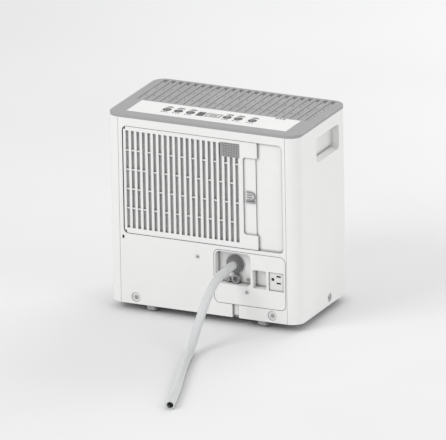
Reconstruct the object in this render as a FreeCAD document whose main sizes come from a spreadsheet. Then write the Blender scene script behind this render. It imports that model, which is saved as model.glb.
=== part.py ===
import FreeCAD, Part
import math
import os
import re

import Sketcher

# A compact dehumidifier on four castors, with a washable filter at the rear, a drain hose,
# a water bucket that slides out at the front and a control strip on top.
# Millimetres. +Z is up, the floor is z = 0, the rear (filter) face looks along -Y,
# and the origin is on the floor under the middle of the cabinet.

SIZES = {
    # cabinet
    "width": 380, "depth": 218, "shell_bottom": 15, "shell_top": 368, "cap_top": 374,
    "corner": 24, "wall": 2.5, "seam": 166, "seam_gap": 0.45, "gap": 0.2, "loose": 0.5,
    "lip": 1.5,
    "frame_in": 12, "frame_line": 1.5,
    # filter recess in the rear cover, and the air opening behind it
    "recess_left": -158, "recess_right": 160, "recess_low": 148, "recess_high": 352.5,
    "recess_deep": 5, "recess_corner": 9, "recess_rim": 4,
    "air_left": -153.5, "air_right": 80, "air_low": 156, "air_high": 344,
    "clip_middle": 141, "clip_tall": 6, "clip_wide": 4,
    # filter cover
    "filter_right": 110, "filter_low": 149, "filter_high": 351.5, "filter_thick": 4.2,
    "filter_axis_x": -155, "filter_axis_in": 2.7, "filter_pin": 1, "filter_pin_fit": 0.05,
    "filter_pin_long": 3, "hinge_relief": 3.2, "hinge_relief_tall": 5.4,
    "slot_wide": 6.2, "slot_pitch": 10.9, "slot_first": -148, "slot_low": 159, "slot_high": 344,
    "bridge_tall": 2.8, "bridge_thick": 2.6,
    "bridge_first": 196.5, "bridge_step": 36.7, "finger_left": 82, "finger_low": 176,
    "finger_high": 322, "finger_right": 106.2, "finger_corner": 5, "finger_floor": 1.5,
    "mesh_thick": 1.2, "mesh_clear": 0.5,
    "screen_left": 38, "screen_right": 76, "screen_low": 319, "screen_high": 346,
    "screen_thick": 1.6, "screen_hole": 2, "screen_pitch": 3.2, "screen_in": 0.4,
    "sensor_left": 46, "sensor_right": 68, "sensor_low": 322, "sensor_high": 343,
    "sensor_front": -99.4, "sensor_thick": 1.2, "can_in": 5, "can_thick": 1.6,
    "latch_left": 87, "latch_right": 105, "latch_low": 237, "latch_high": 257,
    "latch_thick": 1.6, "latch_rib": 0.7, "latch_rib_in": 4, "latch_rib_tall": 1.6,
    "latch_rib_first": 8, "latch_rib_pitch": 4, "latch_bar": 2.4,
    # service panel with the drain pocket and the plug holder
    "panel_left": 21.7, "panel_right": 163, "panel_low": 40.5, "panel_high": 140.5,
    "panel_corner": 10, "panel_gap": 0.9, "pocket_deep": 16, "pocket_wall": 2,
    "drain_left": 24, "drain_right": 94, "drain_low": 77, "drain_high": 138.4,
    "plug_left": 98, "plug_mid_left": 125, "plug_mid_right": 130, "plug_right": 159.5,
    "plug_low": 75.5, "plug_high": 110.5, "socket_in": 1.5, "socket_middle": 97,
    "ground_x": 137.6, "ground_radius": 3.1, "blade_x": 149.2, "blade_apart": 12.7,
    "blade_wide": 8.6, "blade_thick": 3, "socket_deep": 12, "spare_corner": 3,
    # cord channel under the service panel
    "channel_left": 56.2, "channel_right": 69.4, "channel_deep": 5, "notch_tall": 4,
    "gland_x": 62.8, "gland_y": -93, "gland_radius": 6, "gland_bore": 3.75, "gland_flange": 8,
    "gland_long": 6, "gland_lip": 1.4,
    # drain outlet
    "outlet_x": 57, "outlet_z": 112, "spigot_radius": 7.5, "nut_radius": 16.5, "nut_long": 11,
    "nut_fit": 0.05, "nut_step": 3.5, "nut_in": 3, "nut_tip_in": 5.5,
    "hose_radius": 8, "hose_bore": 6, "leg_y": -78, "leg_radius": 7, "leg_bore": 5.6,
    "leg_below": 1.5, "stub_reach": 9.5, "drop_bore": 5.2,
    "cap_x": 60, "cap_z": 85.3, "cap_radius": 8, "cap_long": 8, "anchor_x": 44, "anchor_z": 82,
    "anchor_radius": 4, "anchor_long": 6, "cap_floor": 2, "cap_skin": 3, "strap_rear": 4,
    "strap_front": 1, "strap_low": 3, "strap_high": 1.2,
    # screws
    "screw_x": 136, "screw_z": 28, "screw_dish": 9, "screw_head": 4.2, "screw_head_thick": 1.1,
    "screw_shank": 2, "screw_long": 10, "side_screw_y": 20, "side_screw_z": 29,
    "small_head": 3, "small_head_thick": 1.4, "small_shank": 1.5, "small_long": 6,
    "side_dish": 8, "screw_free": 0.02, "screw_bite": 0.1, "panel_screw_x": 86,
    "panel_screw_z": 66, "pocket_screw_x": 82, "pocket_screw_z": 84.7, "cover_screw_x": -11,
    "cover_screw_z": 122,
    # hand holds
    "hold_rear": -26, "hold_front": 70, "hold_low": 298, "hold_high": 345, "hold_corner": 9,
    "hold_deep": 14, "hold_hook": 7, "hold_ramp": 3, "hold_round": 3,
    "pad_long": 44, "pad_tall": 9.5, "pad_thick": 2.4,
    # top cap, louvres and control strip
    "strip_half": 158.5, "strip_rear": -87, "strip_front": -22, "strip_thick": 3,
    "louvre_pitch": 15.2, "louvre_wide": 8, "louvre_rear": -18, "louvre_front": 101,
    "louvre_span": 176, "louvre_bar": 3, "bar_rear": 20, "bar_front": 60, "vane_low": 367,
    "vane_thick": 1.6, "slat_long": 7.5, "slat_thick": 1.2, "slat_high": 371.6,
    "slat_root": 1, "slat_tilt": 38,
    "button_radius": 8, "button_proud": 0.5, "button_gap": 0.3, "flange_low": 2.2,
    "flange_thick": 1.2, "neck_in": 1, "stem_radius": 2, "stem_low": 362.5,
    "display_half": 14, "display_deep": 9,
    # control board
    "board_half": 118, "board_rear": -84, "board_front": -28, "board_low": 352,
    "board_thick": 1.6, "switch_high": 361.5, "switch_half": 4, "module_half": 8,
    "chip_left": -30, "chip_right": -6, "chip_in": 3, "chip_deep": 12, "chip_high": 360,
    "beeper_x": 20, "beeper_in": 9, "beeper_radius": 5,
    # base pan
    "pan_thick": 4, "well_radius": 20.6, "well_wall": 2, "well_roof": 30.5, "roof_thick": 3,
    "boss_radius": 8, "boss_top": 36.4, "rail_high": 36.6, "rail_wide": 6,
    "rail_left_x": -60, "rail_right_x": 40, "rail_front": 100, "pan_room": 60,
    "screw_boss": 6, "boss_front": -95, "boss_high": 34, "side_boss": 16,
    # castors
    "castor_x": 111, "castor_y": 85, "trail": 5, "wheel_radius": 13, "wheel_half": 8,
    "wheel_round": 3, "axle_radius": 1.5, "axle_fit": 0.05, "fork_half": 10, "fork_arm": 1.6,
    "fork_plate_low": 27.5, "fork_plate_high": 29.5, "fork_arm_low": 9.5, "fork_reach": 14,
    "stem_fit": 0.06, "castor_stem": 4, "castor_stem_top": 36, "fork_front": 8, "arm_half": 5,
    # bucket, its lid and its front
    "bucket_left": -164, "bucket_right": 66, "bucket_rear": -66, "bucket_low": 37,
    "bucket_high": 122, "bucket_wall": 2.2, "bucket_corner": 12, "lid_high": 124,
    "lid_front": 80, "funnel_left": -120, "funnel_right": -60, "funnel_rear": -50,
    "funnel_front": 0,
    "front_split": 150.8, "front_low": 15, "grip_half": 60, "grip_low": 129, "grip_high": 146,
    "grip_deep": 21, "grip_wall": 2, "grip_corner": 6, "window_left": -104,
    "window_right": -92, "window_low": 46, "window_high": 118, "window_in": 0.5,
    # float
    "float_x": -20, "float_half": 11, "float_y": -56, "float_z": 100, "lug_thick": 4,
    "lug_half": 6, "float_pin": 2, "float_pin_fit": 0.06, "hub_radius": 3.6,
    "stalk_half": 8, "stalk_long": 26, "stalk_thick": 3, "cell_half": 18, "cell_rear": 20,
    "cell_front": 52, "cell_low": 16, "cell_round": 3,
    # bay wall and shelf
    "bay_left": 71, "bay_right": 74, "shelf_low": 149, "shelf_high": 152, "shelf_rear": -50,
    # drip tray
    "tray_left": -160, "tray_right": 90, "tray_rear": -100.8, "tray_front": -53.5,
    "tray_low": 141.2, "tray_high": 155, "tray_wall": 2, "rib_half": 2, "rib_in": 10,
    # coils
    "coil_left": -150, "coil_right": 78, "coil_low": 155, "coil_high": 346, "coil_thick": 20,
    "cold_rear": -99, "hot_rear": -76, "bend_radius": 9, "tube_radius": 4,
    "bend_first": 172, "bend_pitch": 38, "groove_half": 2, "groove_end": 4,
    # fan
    "fan_x": -37, "fan_z": 244, "housing_left": -150, "housing_right": 76,
    "housing_rear": -52, "housing_front": 40, "housing_high": 336, "duct_left": -122,
    "duct_right": 48, "duct_rear": -12, "duct_high": 366, "inlet_radius": 62,
    "impeller_radius": 78, "impeller_rear": -46, "impeller_front": 4, "blade_deep": 14,
    "blade_skin": 1.6, "disc_thick": 3, "hub": 12, "shaft_radius": 4, "shaft_fit": 0.05,
    "motor_radius": 36, "motor_front": 80, "motor_round": 4, "motor_bore": 15,
    "motor_foot_out": 5, "motor_foot_thick": 4, "motor_foot": 7, "shaft_hole": 6,
    "shaft_rear": 16, "shaft_front": 14, "hub_long": 18, "ring_wide": 7, "blade_root": 1,
    "blade_tip": 5, "blade_drop": 2,
    # compressor and its pipes
    "comp_x": 122, "comp_y": 18, "comp_radius": 44, "comp_low": 34, "comp_high": 206,
    "comp_dome": 22, "comp_flat": 27, "comp_foot_in": 8, "comp_foot_up": 10,
    "comp_shoulder": 5, "foot_half": 41, "foot_thick": 3, "foot_corner": 8,
    "grommet_radius": 8,
    "grommet_at": 31, "suction_x": 112, "suction_y": 8, "suction_z": 305,
    "discharge_x": 134, "discharge_y": 26, "discharge_z": 267, "discharge_radius": 3,
    "capillary_z": 191, "capillary_x": 104, "capillary_radius": 1.6, "drier_radius": 7,
    "drier_rear": 3, "drier_front": 5,
    # small inner parts
    "capacitor_x": -169, "capacitor_radius": 15, "capacitor_high": 215, "tab_x": 6,
    "tab_half": 3, "tab_thick": 0.8, "tab_high": 8,
    "lever_x": -60, "lever_half": 10, "lever_low": 104, "lever_rear": -74, "lever_front": -68,
    "plunger_up": 8, "plunger_radius": 2,
}

LOUVRES = 23
SLOTS = 21
EVERY_LEVEL_SLOTS = 3
BRIDGE_LEVELS = 4
BLADES = 30
BENDS = 5
FIN_BLOCKS = 19
LATCH_RIBS = 3
BUTTON_PLACES = {
    "mode_button": -93, "fan_button": -70, "filter_button": -46,
    "humidity_button": 27, "timer_button": 49, "power_button": 77,
}
PANEL_SCREW = ("panel_screw_x", "panel_screw_z")
POCKET_SCREW = ("pocket_screw_x", "pocket_screw_z")
COVER_SCREW = ("cover_screw_x", "cover_screw_z")
ALONG = {"x": FreeCAD.Vector(1, 0, 0), "y": FreeCAD.Vector(0, 1, 0), "z": FreeCAD.Vector(0, 0, 1)}

# Route of the drain hose: straight out of the outlet, down to the floor and along it.
HOSE_ROUTE = [
    (57, -104, 112), (57, -134, 112), (56, -176, 106), (53, -212, 78), (52, -246, 40),
    (58, -290, 8), (76, -352, 8), (101, -424, 8), (128, -497, 8), (148, -563, 8),
]

doc = FreeCAD.newDocument("dehumidifier")
sheet = doc.addObject("Spreadsheet::Sheet", "sizes")
for row, (alias, number) in enumerate(SIZES.items(), start=1):
    sheet.set(f"A{row}", alias)
    sheet.set(f"B{row}", str(number))
    sheet.setAlias(f"B{row}", alias)
doc.recompute()

WORD = re.compile(r"[a-z][a-z0-9_]*")
pieces = {}


def size(alias):
    """The number that a sheet cell holds."""
    return float(sheet.get(alias))


def linked(expression):
    """An expression in sheet aliases, as FreeCAD reads it."""
    return WORD.sub(lambda word: "sizes." + word.group() if word.group() in SIZES else word.group(),
                    str(expression))


def bind(item, **properties):
    for name, expression in properties.items():
        item.setExpression(name, linked(expression))


def place(item, x, y, z):
    item.setExpression("Placement.Base.x", linked(x))
    item.setExpression("Placement.Base.y", linked(y))
    item.setExpression("Placement.Base.z", linked(z))


def piece(label, item):
    """Names the finished sub-part, whose label is also its file name."""
    item.Label = label
    pieces[label] = item
    return item


# ---------------------------------------------------------------- primitives and booleans

def block(x, y, z):
    """A box between two expressions along each axis."""
    item = doc.addObject("Part::Box", "block")
    bind(item, Length=f"({x[1]}) - ({x[0]})", Width=f"({y[1]}) - ({y[0]})",
         Height=f"({z[1]}) - ({z[0]})")
    place(item, x[0], y[0], z[0])
    return item


def rod(axis, middle, span, radius):
    """A cylinder along an axis; middle gives its two other coordinates in X, Y, Z order."""
    item = doc.addObject("Part::Cylinder", "rod")
    bind(item, Radius=radius, Height=f"({span[1]}) - ({span[0]})")
    turn = {"x": FreeCAD.Rotation(ALONG["y"], 90), "y": FreeCAD.Rotation(ALONG["x"], -90),
            "z": FreeCAD.Rotation()}[axis]
    item.Placement = FreeCAD.Placement(FreeCAD.Vector(), turn)
    spot = {"x": (span[0], *middle), "y": (middle[0], span[0], middle[1]),
            "z": (*middle, span[0])}[axis]
    place(item, *spot)
    return item


def joined(*items):
    if len(items) == 1:
        return items[0]
    item = doc.addObject("Part::MultiFuse", "joined")
    item.Shapes = list(items)
    return item


def cut(base, *tools):
    item = doc.addObject("Part::Cut", "cut")
    item.Base = base
    item.Tool = joined(*tools)
    return item


def common(one, other):
    item = doc.addObject("Part::Common", "common")
    item.Base = one
    item.Tool = other
    return item


def round_edges(item, radius, wanted):
    """Part fillet on the edges that the test picks."""
    doc.recompute()
    fillet = doc.addObject("Part::Fillet", "rounded")
    fillet.Base = item
    fillet.Edges = [(number, radius, radius)
                    for number, edge in enumerate(item.Shape.Edges, start=1) if wanted(edge)]
    return fillet


def is_along(axis):
    def wanted(edge):
        if edge.Curve.TypeId != "Part::GeomLine":
            return False
        return abs(abs(edge.Curve.Direction.dot(ALONG[axis])) - 1) < 1e-6
    return wanted


def rounded_block(axis, x, y, z, radius):
    """A box whose four edges along one axis are rounded."""
    return round_edges(block(x, y, z), radius, is_along(axis))


def mirrored_x(side, expression_pair):
    """The pair of X expressions on the right side, or their mirror on the left."""
    low, high = expression_pair
    if side > 0:
        return low, high
    return f"-({high})", f"-({low})"


# ---------------------------------------------------------------- bodies with sketches

def new_body(name):
    return doc.addObject("PartDesign::Body", name)


def sketch_on(body, plane, offset="0"):
    """A sketch on one of the body's origin planes, moved along the plane's normal."""
    sketch = body.newObject("Sketcher::SketchObject", "profile")
    role = {"xy": "XY_Plane", "xz": "XZ_Plane", "yz": "YZ_Plane"}[plane]
    base = [item for item in body.Origin.OriginFeatures if item.Role == role][0]
    sketch.AttachmentSupport = [(base, "")]
    sketch.MapMode = "FlatFace"
    sketch.setExpression("AttachmentOffset.Base.z", linked(offset))
    return sketch


def outline(sketch, points):
    """A closed outline of straight lines, every corner bound to two expressions."""
    count = len(points)
    first = sketch.GeometryCount
    loose = [FreeCAD.Vector(10 * math.cos(step * 2 * math.pi / count),
                            10 * math.sin(step * 2 * math.pi / count), 0) for step in range(count)]
    for step in range(count):
        sketch.addGeometry(Part.LineSegment(loose[step], loose[(step + 1) % count]), False)
    for step in range(count):
        line, after = first + step, first + (step + 1) % count
        sketch.addConstraint(Sketcher.Constraint("Coincident", line, 2, after, 1))
    for step, (across, up) in enumerate(points):
        for kind, start, expression in (("DistanceX", loose[step].x, across),
                                        ("DistanceY", loose[step].y, up)):
            number = sketch.addConstraint(
                Sketcher.Constraint(kind, -1, 1, first + step, 1, start))
            sketch.setExpression(f"Constraints[{number}]", linked(expression))


def rectangle(sketch, across, up):
    outline(sketch, [(across[0], up[0]), (across[1], up[0]), (across[1], up[1]),
                     (across[0], up[1])])


def circle(sketch, across, up, radius):
    number = sketch.addGeometry(Part.Circle(FreeCAD.Vector(1, 1, 0), ALONG["z"], 1), False)
    for kind, expression in (("DistanceX", across), ("DistanceY", up)):
        row = sketch.addConstraint(Sketcher.Constraint(kind, -1, 1, number, 3, 1))
        sketch.setExpression(f"Constraints[{row}]", linked(expression))
    row = sketch.addConstraint(Sketcher.Constraint("Radius", number, 1))
    sketch.setExpression(f"Constraints[{row}]", linked(radius))


def pad(body, sketch, length, reverse=False):
    feature = body.newObject("PartDesign::Pad", "pad")
    feature.Profile = sketch
    feature.Reversed = reverse
    bind(feature, Length=length)
    return feature


def pocket(body, sketch, length, reverse=False):
    """Cuts a profile away, and stops if nothing was cut."""
    doc.recompute()
    before = body.Shape.Volume
    feature = body.newObject("PartDesign::Pocket", "pocket")
    feature.Profile = sketch
    feature.Reversed = reverse
    bind(feature, Length=length)
    doc.recompute()
    if body.Shape.Volume > before - 1e-3:
        raise ValueError(f"a pocket in {body.Name} cut nothing")
    return feature


def body_fillet(body, radius, wanted):
    doc.recompute()
    base = body.Tip
    edges = [f"Edge{number}" for number, edge in enumerate(body.Shape.Edges, start=1)
             if wanted(edge)]
    feature = body.newObject("PartDesign::Fillet", "softened")
    feature.Base = (base, edges)
    bind(feature, Radius=radius)
    return feature


# ---------------------------------------------------------------- pipes

def rounded_path(points):
    """Straight runs joined by tangent arcs, as one wire, with the arcs' radii."""
    corners = [FreeCAD.Vector(*point) for point in points]
    edges = []
    radii = []
    start = corners[0]
    for before, corner, after in zip(corners, corners[1:], corners[2:]):
        into = corner - before
        out = after - corner
        reach = 0.45 * min(into.Length, out.Length)
        turn = into.getAngle(out)
        radii.append(reach / math.tan(turn / 2))
        into.normalize()
        out.normalize()
        arc_start = corner - into * reach
        arc_end = corner + out * reach
        inward = out - into
        inward.normalize()
        arc_middle = corner + inward * (radii[-1] / math.cos(turn / 2) - radii[-1])
        edges.append(Part.LineSegment(start, arc_start).toShape())
        edges.append(Part.Arc(arc_start, arc_middle, arc_end).toShape())
        start = arc_end
    edges.append(Part.LineSegment(start, corners[-1]).toShape())
    return Part.Wire(edges), radii


def pipe(points, radius, bore=0.0):
    """A round pipe along a path, solid or with a bore; returns its shape, path and radii."""
    path, radii = rounded_path(points)
    start = FreeCAD.Vector(*points[0])
    heading = FreeCAD.Vector(*points[1]) - start
    solids = []
    for ring_radius in [radius] + ([bore] if bore else []):
        ring = Part.Wire([Part.makeCircle(ring_radius, start, heading)])
        solids.append(path.makePipeShell([ring], True, False))
    shape = solids[0].cut(solids[1]) if bore else solids[0]
    return shape, path, radii


def shaped(name, shape):
    item = doc.addObject("Part::Feature", name)
    item.Shape = shape
    item.Placement = FreeCAD.Placement()
    return item


# ---------------------------------------------------------------- cabinet

def inside(low, high):
    """The room inside the side covers between two heights, less a small gap."""
    inset = "(wall + gap)"
    return rounded_block("z", (f"{inset} - width/2", f"width/2 - {inset}"),
                         (f"{inset} - depth/2", f"depth/2 - {inset}"), (low, high),
                         size("corner") - size("wall") - size("gap"))


def shell_side(side):
    """A side cover, which wraps the two rounded vertical corners of its side."""
    everywhere = ("-depth/2 - 1", "depth/2 + 1")
    outer = rounded_block("z", ("-width/2", "width/2"), ("-depth/2", "depth/2"),
                          ("shell_bottom", "shell_top"), size("corner"))
    inner = rounded_block("z", ("wall - width/2", "width/2 - wall"),
                          ("wall - depth/2", "depth/2 - wall"),
                          ("shell_bottom - 1", "shell_top + 1"), size("corner") - size("wall"))
    half = block(mirrored_x(side, ("seam", "width/2 + 1")), everywhere, ("0", "shell_top + 1"))
    through = mirrored_x(side, ("width/2 - 2*wall", "width/2 + 1"))
    hold = rounded_block("x", through, ("hold_rear", "hold_front"), ("hold_low", "hold_high"),
                         size("hold_corner"))
    screw_hole = rod("x", ("side_screw_y", "side_screw_z"), through, "screw_shank + gap")
    screw_dish = rod("x", ("side_screw_y", "side_screw_z"),
                     mirrored_x(side, ("width/2 - wall/2", "width/2 + 1")), "side_dish")
    return cut(common(cut(outer, inner), half), hold, screw_hole, screw_dish)


def handle_cup(side):
    """The moulded cup behind a side hand hold, with a hook for the fingers, a pad and a ramp."""
    skin = "wall - gap"
    deep = "width/2 - wall - hold_deep"
    mouth = "width/2 - wall"
    outside = block(mirrored_x(side, (f"{deep} - {skin}", mouth)),
                    ("hold_rear - wall", "hold_front + wall"),
                    ("hold_low - wall", "hold_high + hold_hook + wall"))
    throat = rounded_block("x", mirrored_x(side, (deep, f"{mouth} + 1")),
                           ("hold_rear", "hold_front"), ("hold_low", "hold_high"),
                           size("hold_corner"))
    bottom = side * (size("width") / 2 - size("wall") - size("hold_deep"))
    throat = round_edges(throat, size("hold_round"), lambda edge: all(
        abs(vertex.X - bottom) < size("gap") for vertex in edge.Vertexes))
    hook = block(mirrored_x(side, (deep, f"{mouth} - 2*wall")),
                 ("hold_rear + wall", "hold_front - wall"),
                 ("hold_high - hold_corner", "hold_high + hold_hook"))
    ramp = doc.addObject("Part::Wedge", "ramp")
    bind(ramp, Xmin="0", Ymin="0", Zmin="0", X2min="0", Z2min="0",
         Xmax="hold_deep", Ymax="hold_ramp", Zmax="hold_front - hold_rear",
         X2max="wall", Z2max="hold_front - hold_rear")
    upright = FreeCAD.Rotation(ALONG["x"], 90)
    if side > 0:
        ramp.Placement = FreeCAD.Placement(FreeCAD.Vector(), upright)
        place(ramp, deep, "hold_front", "hold_low")
    else:
        ramp.Placement = FreeCAD.Placement(
            FreeCAD.Vector(), FreeCAD.Rotation(ALONG["z"], 180).multiply(upright))
        place(ramp, f"-({deep})", "hold_rear", "hold_low")
    pad_top = "hold_high + hold_hook"
    stop = block(mirrored_x(side, (deep, f"{deep} + pad_thick")),
                 ("hold_rear + wall", "hold_rear + pad_long"), ("hold_high - pad_tall", pad_top))
    room = block(mirrored_x(side, (deep, mouth)), ("hold_rear", "hold_front"),
                 ("hold_low", "hold_high"))
    return joined(cut(outside, throat, hook), common(ramp, room), stop)


def rear_cover():
    rear = "-depth/2"
    skin = block(("seam_gap - seam", "seam - seam_gap"), (rear, f"{rear} + wall"),
                 ("shell_bottom", "shell_top"))
    dish = block(("recess_left - recess_rim", "recess_right + recess_rim"),
                 (rear, f"{rear} + recess_deep + wall"),
                 ("recess_low - recess_rim", "recess_high + recess_rim"))
    trough = block(("channel_left - wall", "channel_right + wall"),
                   (rear, f"{rear} + channel_deep + wall"),
                   ("shell_bottom", "panel_low - panel_gap"))
    recess = rounded_block("y", ("recess_left", "recess_right"),
                           (f"{rear} - 1", f"{rear} + recess_deep"),
                           ("recess_low", "recess_high"), size("recess_corner"))
    air = block(("air_left", "air_right"), (rear, f"{rear} + depth/4"), ("air_low", "air_high"))
    service = rounded_block("y", ("panel_left - panel_gap", "panel_right + panel_gap"),
                            (f"{rear} - 1", f"{rear} + wall + 1"),
                            ("panel_low - panel_gap", "panel_high + panel_gap"),
                            size("panel_corner") + size("panel_gap"))
    channel = block(("channel_left", "channel_right"), (f"{rear} - 1", f"{rear} + channel_deep"),
                    ("0", "panel_low"))
    notch = block(("channel_left", "channel_right"), (f"{rear} - 1", f"{rear} + depth/4"),
                  ("0", "shell_bottom + notch_tall"))
    clip = block(("recess_left - 1 - clip_wide/2", "recess_left - 1 + clip_wide/2"),
                 (f"{rear} - 1", f"{rear} + wall + 1"),
                 ("clip_middle - clip_tall/2", "clip_middle + clip_tall/2"))
    hinge_holes = rod("z", ("filter_axis_x", f"{rear} + filter_axis_in"),
                      ("recess_low - filter_pin_long - gap", "recess_high + filter_pin_long + gap"),
                      "filter_pin + filter_pin_fit")
    tools = [recess, air, service, channel, notch, clip, hinge_holes]
    for side in (-1, 1):
        centre = (f"{side}*screw_x", "screw_z")
        tools.append(rod("y", centre, (f"{rear} - 1", f"{rear} + wall/2"), "screw_dish"))
        tools.append(rod("y", centre, (f"{rear} - 1", f"{rear} + wall + 1"), "screw_shank + gap"))
    tools.append(rod("y", COVER_SCREW, (f"{rear} - 1", f"{rear} + wall + 1"),
                     "small_shank + gap"))
    return cut(joined(skin, dish, trough), *tools)


def front_cover():
    """The upper front panel, with a shallow frame line round it."""
    front = "depth/2"
    panel = block(("seam_gap - seam", "seam - seam_gap"), (f"{front} - wall", front),
                  ("front_split + gap", "shell_top"))
    outer = block(("frame_in - seam", "seam - frame_in"), (f"{front} - wall/4", f"{front} + 1"),
                  ("front_split + frame_in", "shell_top - frame_in"))
    inner = block(("frame_in + frame_line - seam", "seam - frame_in - frame_line"),
                  (f"{front} - wall", f"{front} + 1"),
                  ("front_split + frame_in + frame_line", "shell_top - frame_in - frame_line"))
    groove = cut(outer, inner)
    return cut(panel, groove)


def base_pan():
    """The floor of the cabinet, with castor wells, screw bosses and the bucket's rails."""
    inset = "(wall + gap)"
    solids = [inside("shell_bottom", "shell_bottom + pan_thick")]
    holes = []
    top = "shell_bottom + pan_thick"
    for side in (-1, 1):
        for end in (-1, 1):
            spot = (f"{side}*castor_x", f"{end}*castor_y")
            solids.append(rod("z", spot, ("shell_bottom", "well_roof + roof_thick"),
                              "well_radius + well_wall"))
            solids.append(rod("z", spot, ("well_roof", "boss_top"), "boss_radius"))
            holes.append(rod("z", spot, ("0", "well_roof"), "well_radius"))
            holes.append(rod("z", spot, ("0", "boss_top + 1"), "castor_stem + stem_fit"))
        solids.append(block((f"{side}*screw_x - screw_boss", f"{side}*screw_x + screw_boss"),
                            (f"{inset} - depth/2", "boss_front"), ("shell_bottom", "boss_high")))
        holes.append(rod("y", (f"{side}*screw_x", "screw_z"), ("-depth/2", "boss_front + 1"),
                         "screw_shank"))
        boss = mirrored_x(side, ("width/2 - side_boss", f"width/2 - {inset}"))
        solids.append(block(boss, ("side_screw_y - screw_boss", "side_screw_y + screw_boss"),
                            ("shell_bottom", "side_screw_z + screw_boss")))
        holes.append(rod("x", ("side_screw_y", "side_screw_z"), boss, "screw_shank"))
    for rail_x in ("rail_left_x", "rail_right_x"):
        solids.append(block((f"{rail_x} - rail_wide/2", f"{rail_x} + rail_wide/2"),
                            ("bucket_rear", "rail_front"), (top, "rail_high")))
    holes.append(block(("channel_left - wall - gap", "channel_right + wall + gap"),
                       ("-depth/2", "-depth/2 + channel_deep + wall + gap"), ("0", "pan_room")))
    holes.append(rod("z", ("gland_x", "gland_y"), ("0", "pan_room"), "gland_radius"))
    return cut(common(joined(*solids), inside("shell_bottom", "pan_room")), *holes)


def bay_wall():
    """Wall beside the bucket, with a leg that closes the compressor's bay behind the front."""
    front = "depth/2 - wall - 2*loose"
    side = block(("bay_left", "bay_right"), ("tray_front + loose", front),
                 ("shell_bottom + pan_thick", "shelf_high"))
    leg = block(("bay_left", "width/2"), (f"{front} - (bay_right - bay_left)", front),
                ("boss_top + loose", "shelf_high"))
    return joined(side, common(inside("boss_top + loose", "shelf_high"), leg))


def inner_shelf():
    plate = block(("-width/2", "bay_left"), ("shelf_rear", "depth/2"), ("shelf_low", "shelf_high"))
    return common(inside("shelf_low", "shelf_high"), plate)


# ---------------------------------------------------------------- top

def sloping_slat(middle):
    """A slat that slopes down across one louvre slot, and hides what is below it."""
    slat = block(("0", "slat_long"), ("louvre_rear", "louvre_front"), ("0", "slat_thick"))
    slat.Placement = FreeCAD.Placement(FreeCAD.Vector(),
                                       FreeCAD.Rotation(ALONG["y"], size("slat_tilt")))
    place(slat, f"{middle} - louvre_wide/2 - slat_root", "louvre_rear", "slat_high")
    return slat


def top_grille():
    """The grey cap, with louvre slots that run front to back and a seat for the control strip."""
    blank = rounded_block("z", ("-width/2", "width/2"), ("-depth/2", "depth/2"),
                          ("shell_top", "cap_top"), size("corner"))
    top = size("cap_top")
    soft = round_edges(blank, size("lip"), lambda edge: all(
        abs(vertex.Z - top) < 1e-6 for vertex in edge.Vertexes))
    hollow = rounded_block("z", ("wall - width/2", "width/2 - wall"),
                           ("wall - depth/2", "depth/2 - wall"),
                           ("shell_top - 1", "cap_top - strip_thick"),
                           size("corner") - size("wall"))
    seat = block(("-strip_half - gap", "strip_half + gap"),
                 ("strip_rear - gap", "strip_front + gap"), ("shell_top - 1", "cap_top + 1"))
    slots = []
    vanes = []
    slats = []
    for number in range(LOUVRES):
        middle = f"louvre_pitch*({number} - {LOUVRES - 1}/2)"
        slots.append(block((f"{middle} - louvre_wide/2", f"{middle} + louvre_wide/2"),
                           ("louvre_rear", "louvre_front"), ("shell_top - 1", "cap_top + 1")))
        slats.append(sloping_slat(middle))
        vane = f"{middle} + louvre_pitch/2"
        vanes.append(block((f"{vane} - vane_thick/2", f"{vane} + vane_thick/2"),
                           ("louvre_rear", "louvre_front"),
                           ("vane_low", "cap_top - strip_thick + gap")))
    bars = [block(("-louvre_span", "louvre_span"),
                  (f"{middle} - louvre_bar/2", f"{middle} + louvre_bar/2"),
                  ("vane_low", "cap_top - strip_thick + gap")) for middle in ("bar_rear", "bar_front")]
    return joined(cut(soft, hollow, seat, *slots), *vanes, *bars, *slats)


def control_panel():
    """The white control strip, with a seat for each button and for the display."""
    body = new_body("strip")
    plan = sketch_on(body, "xy", "cap_top - strip_thick")
    rectangle(plan, ("-strip_half", "strip_half"), ("strip_rear", "strip_front"))
    pad(body, plan, "strip_thick")
    seats = sketch_on(body, "xy", "cap_top")
    for middle in BUTTON_PLACES.values():
        circle(seats, str(middle), "(strip_rear + strip_front)/2", "button_radius + button_gap")
    rectangle(seats, ("-display_half", "display_half"),
              ("(strip_rear + strip_front)/2 - display_deep",
               "(strip_rear + strip_front)/2 + display_deep"))
    pocket(body, seats, "strip_thick")
    return body


def display_window():
    middle = "(strip_rear + strip_front)/2"
    return block(("gap - display_half", "display_half - gap"),
                 (f"{middle} - display_deep + gap", f"{middle} + display_deep - gap"),
                 ("cap_top - strip_thick", "cap_top"))


def button(middle):
    """A push button: a round cap with a flange that keeps it in, and a stem to its switch."""
    body = new_body("button")
    across = "(strip_rear + strip_front)/2"
    cap = sketch_on(body, "xy", "cap_top - strip_thick")
    circle(cap, str(middle), across, "button_radius")
    pad(body, cap, "strip_thick + button_proud")
    body_fillet(body, "button_proud*0.8", lambda edge: min(
        vertex.Z for vertex in edge.Vertexes) > size("cap_top"))
    stem = sketch_on(body, "xy", "stem_low")
    circle(stem, str(middle), across, "stem_radius")
    pad(body, stem, "cap_top - strip_thick - stem_low")
    flange = sketch_on(body, "xy", "cap_top - strip_thick - flange_low")
    circle(flange, str(middle), across, "button_radius + flange_thick")
    pad(body, flange, "flange_thick")
    neck = sketch_on(body, "xy", "cap_top - strip_thick - flange_low/2")
    circle(neck, str(middle), across, "button_radius - neck_in")
    pad(body, neck, "flange_thick")
    return body


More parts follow.
